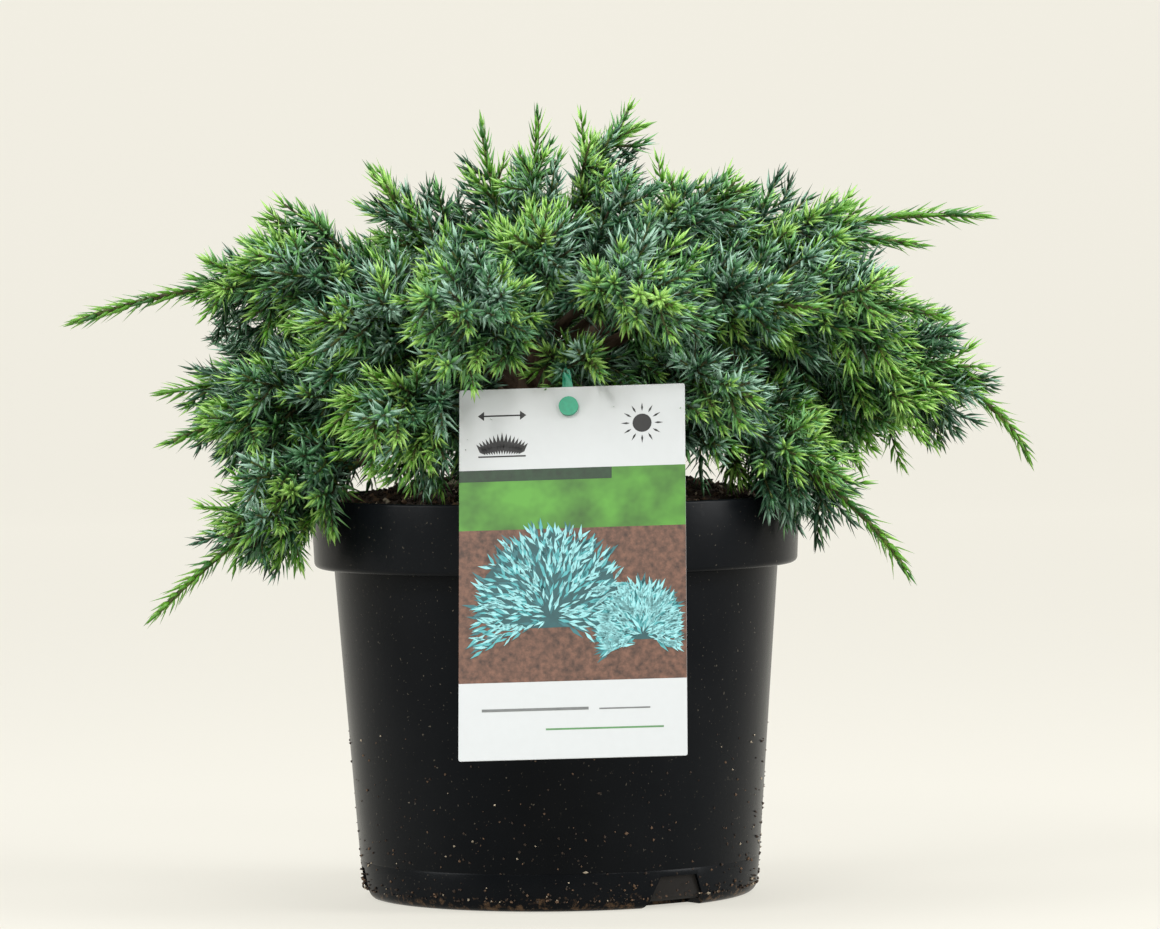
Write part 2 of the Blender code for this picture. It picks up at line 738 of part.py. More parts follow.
def rod(name, radius, low, high, centre, sides, look):
    """A round bar along the card's own z axis."""
    points, faces = [], []
    for z in (low, high):
        for k in range(sides):
            angle = 2 * math.pi * k / sides
            points.append(centre + Vector((radius * math.cos(angle), radius * math.sin(angle), z)))
    for k in range(sides):
        n = (k + 1) % sides
        faces.append((k, n, sides + n, sides + k))
    faces.append(tuple(reversed(range(sides))))
    faces.append(tuple(range(sides, 2 * sides)))
    return add_object(name, points, faces, look, smooth=True)


def hole_centre():
    return Vector((CARD_HOLE_ACROSS, CARD_HEIGHT / 2 - CARD_HOLE_DOWN, 0))


def make_card(frame, look):
    card = block("label_card", (CARD_WIDTH, CARD_HEIGHT, CARD_THICKNESS), Vector(), look)
    join(card, [rod("hole_cutter", CARD_HOLE_RADIUS, -0.002, 0.002, hole_centre(), 16, look)], "DIFFERENCE")
    card.data.transform(frame)


def tab_ends(frame):
    """The foot and head of the tab that rises behind the card, in world places."""
    back = -(CARD_THICKNESS / 2 + GAP + TAB_THICKNESS / 2)
    foot = hole_centre() + Vector((0, 0, back))
    head = foot + Vector((-0.001, TAB_HEIGHT, 0))
    return frame @ foot, frame @ head


def tie_loop(frame, bough_path, bare):
    """A closed teardrop: from the tab's head round the bough and back."""
    s = bough_path.length * bare * TIE_ALONG_BOUGH
    centre = bough_path.at(s)
    along = bough_path.heading(s)
    head = tab_ends(frame)[1]
    away = centre - head
    away = (away - along * away.dot(along)).normalized()
    across = along.cross(away)
    round_bough = BOUGH_ROOT_RADIUS + GAP + STRAP_RADIUS + 0.0002
    points = []
    for k in range(LOOP_POINTS + 1):
        angle = math.radians(-100 + 200 * k / LOOP_POINTS)
        lift = away * math.cos(angle) + across * math.sin(angle)
        points.append(centre + lift * round_bough)
    start = head + across * -0.0004
    finish = head + across * 0.0004
    return start, points, finish


def make_tie(frame, loop, look):
    front = CARD_THICKNESS / 2 + GAP
    hole = hole_centre()
    button = rod("label_tie", BUTTON_RADIUS, front, front + BUTTON_THICKNESS, hole, 20, look)
    peg = rod("peg", PEG_RADIUS, -front - TAB_THICKNESS / 2, front + BUTTON_THICKNESS / 2, hole, 12, look)
    foot = rod("tab_foot", TAB_FOOT_WIDTH / 2, -front - TAB_THICKNESS, -front, hole, 16, look)
    for piece in (button, peg, foot):
        piece.data.transform(frame)
    low, high = tab_ends(frame)
    across = (frame.to_3x3() @ Vector((1, 0, 0))).normalized()
    outward = (frame.to_3x3() @ Vector((0, 0, 1))).normalized()
    points = []
    for centre, width in ((low, TAB_FOOT_WIDTH * 0.86), (high, TAB_HEAD_WIDTH)):
        for x, z in ((-1, -1), (1, -1), (1, 1), (-1, 1)):
            depth = TAB_THICKNESS * 0.92
            points.append(centre + across * (x * width / 2) + outward * (z * depth / 2))
    faces = [(3, 2, 1, 0), (4, 5, 6, 7)]
    faces += [(k, (k + 1) % 4, (k + 1) % 4 + 4, k + 4) for k in range(4)]
    faces = [tuple(reversed(face)) for face in faces]
    tab = add_object("tab", points, faces, look)
    start, bend, finish = loop
    pieces = [peg, foot, tab]
    for a, b in ((start, bend[0]), (bend[-1], finish)):
        run = Path([a, a.lerp(b, 0.5), b])
        pieces.append(limb("run", run, [0.0, run.length], [STRAP_RADIUS] * 2, 6, look))
    turn = Path(bend)
    places = turn.part(0.0, turn.length, turn.length / LOOP_POINTS)
    pieces.append(limb("turn", turn, places, [STRAP_RADIUS * 1.04] * len(places), 6, look))
    join(button, pieces)


def main():
    remove_everything()
    looks = {
        "pot": plain_material("black_plastic", (0.012, 0.013, 0.015), 0.38),
        "soil": plain_material("potting_soil", (0.045, 0.028, 0.018), 0.95),
        "bark": plain_material("bark", (0.16, 0.085, 0.045), 0.9),
        "needles": plain_material("needles", (0.055, 0.17, 0.085), 0.55),
        "card": plain_material("card", (0.86, 0.87, 0.87), 0.4),
        "tie": plain_material("green_plastic", (0.01, 0.33, 0.2), 0.35),
    }
    shoots = all_shoots()
    paths = shoot_paths(shoots)
    frame = card_frame()
    loop = tie_loop(frame, paths[TIE_BOUGH], shoots[TIE_BOUGH].bare)
    tab_low, tab_high = tab_ends(frame)
    tie_points = [tab_low, tab_low.lerp(tab_high, 0.5), tab_high]
    tie_points += [tab_high.lerp(loop[1][0], k / 8) for k in range(1, 9)]
    tie_points += loop[1][::3]
    make_pot(looks["pot"])
    make_soil(looks["soil"])
    stem_solid("stem", 0.0, looks["bark"])
    for name, shoot in shoots.items():
        if shoot.bare > 0:
            make_bough(name, paths[name], shoot.bare, looks["bark"])
    make_card(frame, looks["card"])
    make_tie(frame, loop, looks["tie"])
    space = Space(shoots, paths, frame, tie_points)
    for index, (name, shoot) in enumerate(shoots.items()):
        make_mass(index, name, shoot, paths[name], space, looks["needles"])


main()
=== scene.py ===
"""The looks of a blue carpet juniper in its nursery pot: bark, needles, pot, soil, card and light.

The shoots follow the same seeded rule as the solids, carried on to finer twigs and to needles of about
their real size. Metres, +Z up, front towards -Y, azimuths in degrees from +X.
"""

import math
import random
from collections import namedtuple

import bpy
import numpy as np
from mathutils import Matrix, Vector


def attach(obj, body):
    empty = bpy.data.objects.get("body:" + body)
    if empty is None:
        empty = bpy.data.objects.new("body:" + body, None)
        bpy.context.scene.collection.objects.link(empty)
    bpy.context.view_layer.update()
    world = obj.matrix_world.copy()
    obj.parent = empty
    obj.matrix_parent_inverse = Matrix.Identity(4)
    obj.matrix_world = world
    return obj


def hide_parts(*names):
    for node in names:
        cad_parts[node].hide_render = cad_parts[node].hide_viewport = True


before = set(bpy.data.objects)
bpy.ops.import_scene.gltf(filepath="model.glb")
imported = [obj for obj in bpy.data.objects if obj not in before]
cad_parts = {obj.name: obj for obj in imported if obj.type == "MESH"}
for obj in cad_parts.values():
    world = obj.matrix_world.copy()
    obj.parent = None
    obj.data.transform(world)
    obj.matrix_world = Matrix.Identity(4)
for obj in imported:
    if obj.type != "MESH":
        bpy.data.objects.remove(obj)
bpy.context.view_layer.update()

# Pot, soil and stem, as in the solids
GAP = 0.0003
POT_HEIGHT = 0.1557
POT_WALL = 0.0014
POT_FLOOR = 0.0022
POT_BASE_RADIUS = 0.0768
POT_BASE_CORNER = 0.0045
POT_SIDES = 160
SHARP_ANGLE = 34
POT_TOP_RADIUS = 0.0864
COLLAR_HEIGHT = 0.0273
COLLAR_FOOT_RADIUS = 0.0941
COLLAR_TOP_RADIUS = 0.0952
COLLAR_CORNER = 0.0022
LIP_SWELL = 0.0003
BASE_LINE_HEIGHT = 0.0148
BASE_LINE_PROFILE = ((-0.0008, 0.0), (-0.0002, 0.0003), (0.0004, 0.0))
NOTCH_COUNT = 3
NOTCH_AZIMUTH = 306
NOTCH_FOOT_WIDTH = 0.028
NOTCH_HEAD_WIDTH = 0.017
NOTCH_HEIGHT = 0.0122
NOTCH_DEPTH = 0.013
NOTCH_CUT_BELOW = 0.004
SOIL_EDGE_HEIGHT = 0.1500
SOIL_CROWN_HEIGHT = 0.1620
SOIL_CROWN_RADIUS = 0.024
STEM_FOOT = Vector((-0.005, 0.006, SOIL_CROWN_HEIGHT + GAP))
STEM_LEAN = Vector((-0.06, -0.05, 1.0))
STEM_HEIGHT = 0.057
STEM_TOP_RADIUS = 0.0056
STEM_BODY_RADIUS = 0.0088
STEM_FLARE = 0.0062
STEM_FLARE_HEIGHT = 0.006
BOUGH_ROOT_RADIUS = 0.0022
BOUGH_TIP_RADIUS = 0.0016
BOUGH_RELIEF = 0.06
BARK_SIDES = 28
BARK_ROWS = 40
FLARE_LOBES = 3
FLARE_LOBE_SHARE = 0.16
FURROWS = 9
FURROW_DEPTH = 0.0004
FURROW_TWIST = 260
BARK_GRAIN = 0.0002
STEM_ROUNDING = 0.0016

# The soil's surface, grit on the pot and crumbs on the soil
SOIL_SIDES = 120
SOIL_RINGS = 34
LUMP_HEIGHT = 0.0007
SOIL_GRAIN = 0.0004
# Painted shade: soil faces this far below the soil's edge height, inside the pot and behind the notches, are
# near black
PAINTED_SHADE_BELOW = 0.004
GRIT_COUNT = 900
GRIT_LOWEST = 0.004
GRIT_REACH = 0.062
GRIT_GATHERING = 2.6
GRIT_SIZES = (0.00025, 0.00075)
GRIT_STRETCH = (1.0, 1.6)
CRUMB_COUNT = 2600
CRUMB_SIZES = (0.0005, 0.0019)
CRUMB_STRETCH = (1.0, 2.2)
CRUMBS_FROM_EDGE = 0.003
CRUMB_TINTS_UP_TO = (0.62, 0.91)
OCTAHEDRON_CORNERS = ((1, 0, 0), (-1, 0, 0), (0, 1, 0), (0, -1, 0), (0, 0, 1), (0, 0, -1))
OCTAHEDRON_FACES = (
    (0, 2, 4), (2, 1, 4), (1, 3, 4), (3, 0, 4), (2, 0, 5), (1, 2, 5), (3, 1, 5), (0, 3, 5),
)

# Card and tie, as in the solids
CARD_WIDTH = 0.0854
CARD_HEIGHT = 0.1442
CARD_THICKNESS = 0.0006
CARD_CENTRE = Vector((0.0065, -0.1052, 0.1310))
CARD_LEAN = 18.7
CARD_YAW = 6.0
CARD_ROLL = 1.3
CARD_CORNER = 0.0008

# The card's print, from its top edge
INK_DEPTH = 0.00003
PICTURE_TOP = 0.0318
PICTURE_FOOT = 0.1145
LAWN_DEPTH = 0.0235
HEDGE_DEPTH = 0.0045
MOUND_LEVEL = 0.030
MOUND_LIFT = 0.00004
MOUNDS = (((-0.008, -0.006), 0.032, 0.040), ((0.026, -0.013), 0.015, 0.021))
MOUND_STROKES = 760
SHADE_STROKES = 190
BODY_STROKES = 430

# Foliage
SPINE_ROOT_RADIUS = 0.0016
TWIG_RADIUS = 0.0009
SPRIG_RADIUS = 0.0006
TWIG_PITCH = 0.0029
TWIG_LONGEST = 0.064
TWIG_SHORTEST = 0.011
TWIG_GROWTH = 0.66
TWIG_SPLAY = 52
TWIG_DROOP = 0.10
TWIG_LENGTHS = (0.6, 1.08)
TWIG_GAPS = (0.75, 1.25)
TWIG_ROLL = 20
TWIG_TAPER = 0.5
TWIG_STEP = 0.006
TWIG_ROOM = 0.003
TWIG_FOOT = 0.004
SPRIG_PITCH = 0.0048
SPRIG_LONGEST = 0.034
SPRIG_SHORTEST = 0.010
SPRIG_SPLAY = 48
SPRIG_GROWTH = 0.6
SPRIG_LENGTHS = (0.6, 1.1)
SPRIG_GAPS = (0.7, 1.3)
SPRIG_ROLL = 25
SPRIG_LEAST = 0.8
SPRIG_ROOM = 0.002
SPRIG_FOOT = 0.003
SPRIGS_FROM = 0.006
SPRIGS_TO_TIP = 0.005
SPLAY_SPREAD = 10
NEEDLE_LENGTH = 0.0102
NEEDLE_WIDTH = 0.00190
NEEDLE_THICKNESS = 0.00060
NEEDLE_WIDEST_AT = 0.34
NEEDLE_SPLAY = 44
SPINE_NEEDLE_SPLAY = 32
TIP_FOLD = 22
TIP_FOLD_REACH = 0.009
NEEDLE_SPREAD = 9
NEEDLE_LENGTHS = (0.75, 1.12)
TIP_NEEDLE_LOSS = 0.25
NEEDLE_HOLLOW = 0.0002
NEEDLE_TIP_CURL = 0.06
NEEDLES_A_WHORL = 3
WHORL_TURN = 60
WHORL_SPREAD = 12
WHORL_PITCH = 0.0023
GOLDEN_TURN = 137.5
SPACE_MARGIN = 0.0004
CLEAR_OF_POT = 0.0006
CLEAR_OF_RIM = 0.003
CLEAR_OF_CARD = 0.0012
BESIDE_CARD = 0.0005
SPACE_STEP = 0.003
STEM_SAMPLES = 12
RIM_GUARD = 0.001
BARE_AT_STEM = 0.010
TIP_SHORT = 0.0080
NO_TWIGS_NEAR_TIP = 0.006
NO_SPRIGS_NEAR_TIP = 0.034
SEED = 41
NEEDLE_FACES = (
    (0, 1, 2), (0, 2, 3), (5, 2, 1), (5, 3, 2), (0, 3, 4), (0, 4, 1), (5, 4, 3), (5, 1, 4),
)
NEEDLE_FACES_UP = (1, 1, 1, 1, 0, 0, 0, 0)
MOST_FACES = 190000

# Where needles are fresh: metres from a tip, and shares of the twigs
SPINE_FRESH = 0.075
SPINE_BRIGHT = 0.85
SPINE_BRIGHT_FALL = 8
TWIG_FRESH = 0.010
TWIG_FRESHEST = 0.004
TWIG_GREEN = 0.020
FRESH_TWIGS_OVER = 0.50
BRIGHT_TWIGS_OVER = 0.76
GREEN_TWIGS_OVER = 0.68
OLD_TINT_TURN = 3.7
OLD_TINT_SPREAD = 0.5
OLD_TINTS_UP_TO = (0.26, 0.54, 0.90)

# Camera: a long lens in front, above the pot's rim, looking a little down and slightly turned
CAMERA_AWAY = 2.6
CAMERA_PLACE = Vector((0.0099, -CAMERA_AWAY, 0.264))
CAMERA_FALL = 0.0970
CAMERA_DROP = math.degrees(math.atan2(CAMERA_FALL, CAMERA_AWAY))
CAMERA_TURN = -0.8
CAMERA_LENS = 207.3

# The studio's round floor and wall
STUDIO_RADIUS = 4.2
STUDIO_CURVE = 1.0
STUDIO_HEIGHT = 3.6
STUDIO_GLOW = (0.88, 0.855, 0.77)
STUDIO_GLOW_RANGE = (0.52, 0.80)

# Lights: name, place, aim, width and height, watts and colour
LIGHTS = (
    ("left", (-1.5, -0.5, 1.0), (0, 0, 0.2), (0.9, 1.5), 27.0, (0.97, 0.99, 1.0)),
    ("right", (1.6, -0.4, 0.9), (0, 0, 0.15), (0.7, 1.5), 36.0, (0.98, 0.99, 1.0)),
    ("key", (-0.7, -1.5, 1.7), (0, 0, 0.2), (0.5, 0.5), 15.0, (1.0, 0.99, 0.97)),
    ("second_key", (1.0, -1.4, 1.5), (0.05, 0, 0.2), (0.5, 0.5), 12.0, (1.0, 0.99, 0.97)),
    ("top", (0.0, 0.2, 2.0), (0, 0, 0.2), (1.4, 1.4), 20.0, (1.0, 1.0, 1.0)),
    ("back_wash", (0.0, 1.6, 2.6), (0, 4.2, 0.6), (3.0, 0.8), 30.0, (1.0, 0.99, 0.97)),
)
WORLD_COLOUR = (1.0, 0.985, 0.95, 1.0)
WORLD_STRENGTH = 0.05
BLACK = (0, 0, 0)
WHITE = (1, 1, 1)

Shoot = namedtuple("Shoot", "azimuth reach height rise end storey bare whip")
Storey = namedtuple("Storey", "roots spread")
LOW = Storey((0.0080, 0.0155), 0.0)
MIDDLE = Storey((0.0230, 0.0305, 0.0380), 0.0)
UPPER = Storey((0.0450,), 0.0)
LEADER = Storey((0.0540,), 0.0036)

SHOOTS = {
    "left_low": Shoot(168, 0.164, 0.195, 35, -12, LOW, 0.36, 0.02),
    "left_middle": Shoot(197, 0.160, 0.177, 30, -22, LOW, 0.36, 0.02),
    "left_droop": Shoot(208, 0.176, 0.111, 26, -42, LOW, 0.42, 0.05),
    "front_left_low": Shoot(234, 0.128, 0.180, 26, -30, LOW, 0.38, 0.01),
    "front_over_label": Shoot(281, 0.100, 0.200, 48, -38, LOW, 0.50, 0.02),
    "front_right_low": Shoot(309, 0.128, 0.192, 34, -18, LOW, 0.38, 0.01),
    "right_front_droop": Shoot(331, 0.156, 0.121, 52, -62, LOW, 0.40, 0.05),
    "right_droop": Shoot(355, 0.186, 0.162, 44, -76, LOW, 0.38, 0.04),
    "left_long": Shoot(190, 0.193, 0.223, 54, -22, MIDDLE, 0.36, 0.06),
    "left_upper": Shoot(170, 0.112, 0.250, 56, 12, MIDDLE, 0.36, 0.01),
    "front_left_middle": Shoot(221, 0.126, 0.224, 46, -8, MIDDLE, 0.36, 0.01),
    "front_middle": Shoot(252, 0.126, 0.226, 52, -8, MIDDLE, 0.38, 0.01),
    "front_right_middle": Shoot(292, 0.130, 0.228, 54, -10, MIDDLE, 0.38, 0.01),
    "right_front_middle": Shoot(320, 0.140, 0.226, 50, -10, MIDDLE, 0.36, 0.02),
    "right_middle": Shoot(339, 0.166, 0.222, 46, -14, MIDDLE, 0.36, 0.02),
    "right_upper": Shoot(355, 0.150, 0.249, 56, -14, MIDDLE, 0.36, 0.03),
    "right_long": Shoot(12, 0.181, 0.261, 62, -6, MIDDLE, 0.40, 0.06),
    "top_left": Shoot(192, 0.074, 0.288, 46, 58, UPPER, 0.0, 0.01),
    "top_far_right": Shoot(334, 0.092, 0.276, 46, 16, UPPER, 0.0, 0.01),
    "front_top": Shoot(268, 0.080, 0.262, 44, 20, UPPER, 0.0, 0.01),
    "top_middle": Shoot(160, 0.029, 0.306, 82, 84, LEADER, 0.0, 0.02),
    "top_centre": Shoot(250, 0.014, 0.310, 82, 86, LEADER, 0.0, 0.02),
    "top_right": Shoot(355, 0.042, 0.299, 80, 4, LEADER, 0.0, 0.01),
}
Row = namedtuple("Row", "name count first_azimuth last_azimuth reach height rise end storey bare")
BACK_ROWS = (
    Row("back_low", 4, 28, 146, 0.158, 0.186, 34, -24, LOW, 0.38),
    Row("back_middle", 3, 48, 128, 0.134, 0.238, 50, -6, MIDDLE, 0.38),
    Row("back_top", 1, 84, 84, 0.062, 0.280, 46, 40, UPPER, 0.0),
)
BACK_REACH_SPREAD = 0.012
BACK_HEIGHT_SPREAD = 0.010
BACK_WHIP = 0.015


# Lines and places


def direction(azimuth, elevation):
    a, e = math.radians(azimuth), math.radians(elevation)
    return Vector((math.cos(a) * math.cos(e), math.sin(a) * math.cos(e), math.sin(e)))


class Path:
    """A smooth line as close points, read by its length."""

    def __init__(self, points):
        self.points = points
        self.marks = [0.0]
        for a, b in zip(points, points[1:]):
            self.marks.append(self.marks[-1] + (b - a).length)
        self.length = self.marks[-1]

    def at(self, s):
        s = min(max(s, 0.0), self.length)
        for k in range(len(self.marks) - 1):
            if s <= self.marks[k + 1]:
                share = (s - self.marks[k]) / (self.marks[k + 1] - self.marks[k])
                return self.points[k].lerp(self.points[k + 1], share)
        return self.points[-1].copy()

    def heading(self, s):
        reach = self.length * 0.01
        return (self.at(s + reach) - self.at(s - reach)).normalized()

    def part(self, first, last, step):
        count = max(1, round((last - first) / step))
        return [first + (last - first) * k / count for k in range(count + 1)]


def hermite(start, end, leave, arrive, count=48):
    points = []
    for k in range(count + 1):
        t = k / count
        a = 2 * t**3 - 3 * t**2 + 1
        b = t**3 - 2 * t**2 + t
        c = -2 * t**3 + 3 * t**2
        d = t**3 - t**2
        points.append(start * a + leave * b + end * c + arrive * d)
    return Path(points)


def stem_axis(height):
    return STEM_FOOT + STEM_LEAN * height


def stem_radius(height):
    share = height / STEM_HEIGHT
    body = STEM_BODY_RADIUS + (STEM_TOP_RADIUS - STEM_BODY_RADIUS) * share
    return body + STEM_FLARE * math.exp(-height / STEM_FLARE_HEIGHT)


def all_shoots():
    rng = random.Random(SEED)
    shoots = dict(SHOOTS)
    for row in BACK_ROWS:
        for k in range(row.count):
            share = k / max(row.count - 1, 1)
            azimuth = row.first_azimuth + (row.last_azimuth - row.first_azimuth) * share
            reach = row.reach + rng.uniform(-1, 1) * BACK_REACH_SPREAD
            height = row.height + rng.uniform(-1, 1) * BACK_HEIGHT_SPREAD
            shoots[f"{row.name}_{k + 1}"] = Shoot(
                azimuth, reach, height, row.rise, row.end, row.storey, row.bare, BACK_WHIP
            )
    return shoots


def shoot_paths(shoots):
    """The whole line of each shoot, from the stem's axis to its tip."""
    paths = {}
    for storey in (LOW, MIDDLE, UPPER, LEADER):
        names = sorted((n for n in shoots if shoots[n].storey == storey), key=lambda n: shoots[n].azimuth)
        for rank, name in enumerate(names):
            shoot = shoots[name]
            out = direction(shoot.azimuth, 0)
            start = stem_axis(storey.roots[rank % len(storey.roots)]) + out * storey.spread
            end = Vector((out.x * shoot.reach, out.y * shoot.reach, shoot.height))
            chord = (end - start).length
            leave = direction(shoot.azimuth, shoot.rise) * chord
            arrive = direction(shoot.azimuth, shoot.end) * chord
            paths[name] = hermite(start, end, leave, arrive)
    return paths


def soil_height(radius):
    """The soil's level at one or many distances from the pot's axis."""
    edge = COLLAR_TOP_RADIUS - POT_WALL
    share = np.clip((radius - SOIL_CROWN_RADIUS) / (edge - SOIL_CROWN_RADIUS), 0, 1)
    return SOIL_EDGE_HEIGHT + (SOIL_CROWN_HEIGHT - SOIL_EDGE_HEIGHT) * np.cos(share * math.pi / 2)


def card_frame():
    """The card's own axes: x across, y up the card and z out of its face."""
    roll = Matrix.Rotation(math.radians(-CARD_ROLL), 4, "Y")
    lean = Matrix.Rotation(math.radians(-CARD_LEAN), 4, "X")
    yaw = Matrix.Rotation(math.radians(-CARD_YAW), 4, "Z")
    upright = Matrix.Rotation(math.radians(90), 4, "X")
    return Matrix.Translation(CARD_CENTRE) @ yaw @ lean @ roll @ upright


class Space:
    """Tells whether a ball lies in a mass's own space and clear of the limbs, the pot, soil and card."""

    def __init__(self, shoots, paths):
        spine_points, spine_owner, solids, radii = [], [], [], []
        for index, (name, shoot) in enumerate(shoots.items()):
            path = paths[name]
            end = path.length * shoot.bare
            for s in path.part(end, path.length, SPACE_STEP):
                spine_points.append(path.at(s))
                spine_owner.append(index)
            if end > 0:
                for s in path.part(0.0, end, SPACE_STEP):
                    solids.append(path.at(s))
                    radii.append(BOUGH_ROOT_RADIUS)
        for k in range(STEM_SAMPLES):
            height = STEM_HEIGHT * k / (STEM_SAMPLES - 1)
            solids.append(stem_axis(height))
            radii.append(stem_radius(height))
        self.spines = np.array(spine_points)
        self.owner = np.array(spine_owner)
        self.solids = np.array(solids)
        self.radii = np.array(radii)
        self.to_card = card_frame().inverted()

    def holds(self, index, point, radius):
        away = np.linalg.norm(self.spines - np.array(point), axis=1)
        own = away[self.owner == index].min()
        other = away[self.owner != index].min()
        if (other - own) / 2 < radius - SPACE_MARGIN:
            return False
        clear = np.linalg.norm(self.solids - np.array(point), axis=1) - self.radii
        if clear.min() < radius:
            return False
        return self.clear_of_pot(point, radius) and self.clear_of_card(point, radius)

    def clear_of_pot(self, point, margin):
        out = math.hypot(point.x, point.y)
        if out > COLLAR_TOP_RADIUS + margin:
            return point.z > margin
        floor = soil_height(out)
        if out > COLLAR_TOP_RADIUS - POT_WALL - margin - RIM_GUARD:
            floor = POT_HEIGHT
        return point.z > floor + margin

    def clear_of_card(self, point, margin):
        local = self.to_card @ point
        beside = abs(local.x) > CARD_WIDTH / 2 + margin
        past = abs(local.y) > CARD_HEIGHT / 2 + margin
        return beside or past or abs(local.z) > CARD_THICKNESS / 2 + margin


# Materials


class Look:
    """A new material, its shader and the few kinds of node that the looks are made of."""

    def __init__(self, name):
        self.made = bpy.data.materials.new(name)
        self.made.use_nodes = True
        self.nodes = self.made.node_tree.nodes
        self.links = self.made.node_tree.links
        self.inputs = self.nodes["Principled BSDF"].inputs

    def put(self, name, value):
        """Sets one of the shader's sockets to a plain value or to another node's output."""
        if isinstance(value, bpy.types.NodeSocket):
            self.links.new(value, self.inputs[name])
        else:
            self.inputs[name].default_value = value

    def coords(self):
        return self.nodes.new("ShaderNodeTexCoord").outputs["Object"]

    def along(self, axis, where):
        node = self.nodes.new("ShaderNodeSeparateXYZ")
        self.links.new(where, node.inputs["Vector"])
        return node.outputs[axis]

    def noise(self, scale, detail=4.0, roughness=0.6, where=None):
        node = self.nodes.new("ShaderNodeTexNoise")
        node.inputs["Scale"].default_value = scale
        node.inputs["Detail"].default_value = detail
        node.inputs["Roughness"].default_value = roughness
        self.links.new(where or self.coords(), node.inputs["Vector"])
        return node.outputs["Fac"]

    def ramp(self, value, stops):
        node = self.nodes.new("ShaderNodeValToRGB")
        while len(node.color_ramp.elements) < len(stops):
            node.color_ramp.elements.new(0.5)
        for element, (position, colour) in zip(node.color_ramp.elements, stops):
            element.position = position
            element.color = (*colour, 1.0)
        self.links.new(value, node.inputs["Fac"])
        return node.outputs["Color"]

    def scaled(self, value, source, target):
        """The value, taken from one range to another."""
        node = self.nodes.new("ShaderNodeMapRange")
        node.inputs["From Min"].default_value, node.inputs["From Max"].default_value = source
        node.inputs["To Min"].default_value, node.inputs["To Max"].default_value = target
        self.links.new(value, node.inputs["Value"])
        return node.outputs["Result"]

    def product(self, first, second):
        node = self.nodes.new("ShaderNodeMath")
        node.operation = "MULTIPLY"
        self.links.new(first, node.inputs[0])
        self.links.new(second, node.inputs[1])
        return node.outputs["Value"]

    def blend(self, share, below, above):
        """A node's colour that gives way to a plain one as the share grows."""
        node = self.nodes.new("ShaderNodeMix")
        node.data_type = "RGBA"
        self.links.new(share, node.inputs["Factor"])
        self.links.new(below, node.inputs["A"])
        node.inputs["B"].default_value = (*above, 1.0)
        return node.outputs["Result"]

    def bump(self, height, distance, strength=1.0):
        node = self.nodes.new("ShaderNodeBump")
        node.inputs["Distance"].default_value = distance
        node.inputs["Strength"].default_value = strength
        self.links.new(height, node.inputs["Height"])
        self.links.new(node.outputs["Normal"], self.inputs["Normal"])


def needle_material(name, colour, rough):
    look = Look(name)
    look.put("Base Color", (*colour, 1.0))
    look.put("Roughness", rough)
    look.put("Specular IOR Level", 0.5)
    return look.made


def bark_material():
    look = Look("bark")
    grain = look.noise(420.0, 6.0, 0.7)
    patches = look.noise(90.0, 3.0)
    furrowed = look.ramp(grain, ((0.3, (0.022, 0.012, 0.007)), (0.62, (0.095, 0.052, 0.030))))
    look.put("Base Color", look.blend(patches, furrowed, (0.11, 0.070, 0.042)))
    look.put("Roughness", 0.9)
    look.bump(grain, 0.0006)
    return look.made


def twig_material():
    look = Look("young_stem")
    grain = look.noise(160.0, 3.0)
    stops = ((0.35, (0.040, 0.028, 0.012)), (0.55, (0.075, 0.095, 0.022)), (0.7, (0.16, 0.22, 0.035)))
    look.put("Base Color", look.ramp(grain, stops))
    look.put("Roughness", 0.7)
    return look.made


def pot_material():
    """Black plastic under a faint film, with pale specks all over and soil low down."""
    look = Look("black_plastic")
    where = look.coords()
    specks = look.ramp(look.noise(900.0, 2.0, 0.5, where), ((0.70, BLACK), (0.75, WHITE)))
    cloud = look.noise(14.0, 4.0, 0.6, where)
    film = look.ramp(cloud, ((0.35, (0.0028, 0.0036, 0.0048)), (0.75, (0.0060, 0.0068, 0.0080))))
    dusty = look.blend(specks, film, (0.075, 0.066, 0.052))
    low = look.scaled(look.along("Z", where), (0.030, 0.0), (0.0, 1.0))
    grit = look.noise(330.0, 5.0, 0.7, where)
    soiled = look.ramp(look.product(low, grit), ((0.47, BLACK), (0.60, WHITE)))
    look.put("Base Color", look.blend(soiled, dusty, (0.085, 0.052, 0.030)))
    look.put("Roughness", look.scaled(cloud, (0.0, 1.0), (0.20, 0.32)))
    look.put("Specular IOR Level", 0.05)
    look.bump(grit, 0.00008, 0.5)
    return look.made


def soil_material():
    look = Look("potting_soil")
    grain = look.noise(500.0, 8.0, 0.75)
    stops = ((0.3, (0.010, 0.006, 0.004)), (0.5, (0.045, 0.027, 0.017)), (0.72, (0.15, 0.095, 0.06)))
    look.put("Base Color", look.ramp(grain, stops))
    look.put("Roughness", 0.95)
    look.bump(grain, 0.0015)
    return look.made


def mottled(name, colour, rough, mottle, scale=300.0, detail=3.0):
    """One colour with a mottle, for print, card, grit, crumbs and the tie's plastic."""
    look = Look(name)
    darker = tuple(c * (1 - mottle) for c in colour)
    look.put("Base Color", look.ramp(look.noise(scale, detail), ((0.3, darker), (0.7, colour))))
    look.put("Roughness", rough)
    return look.made


# Meshes


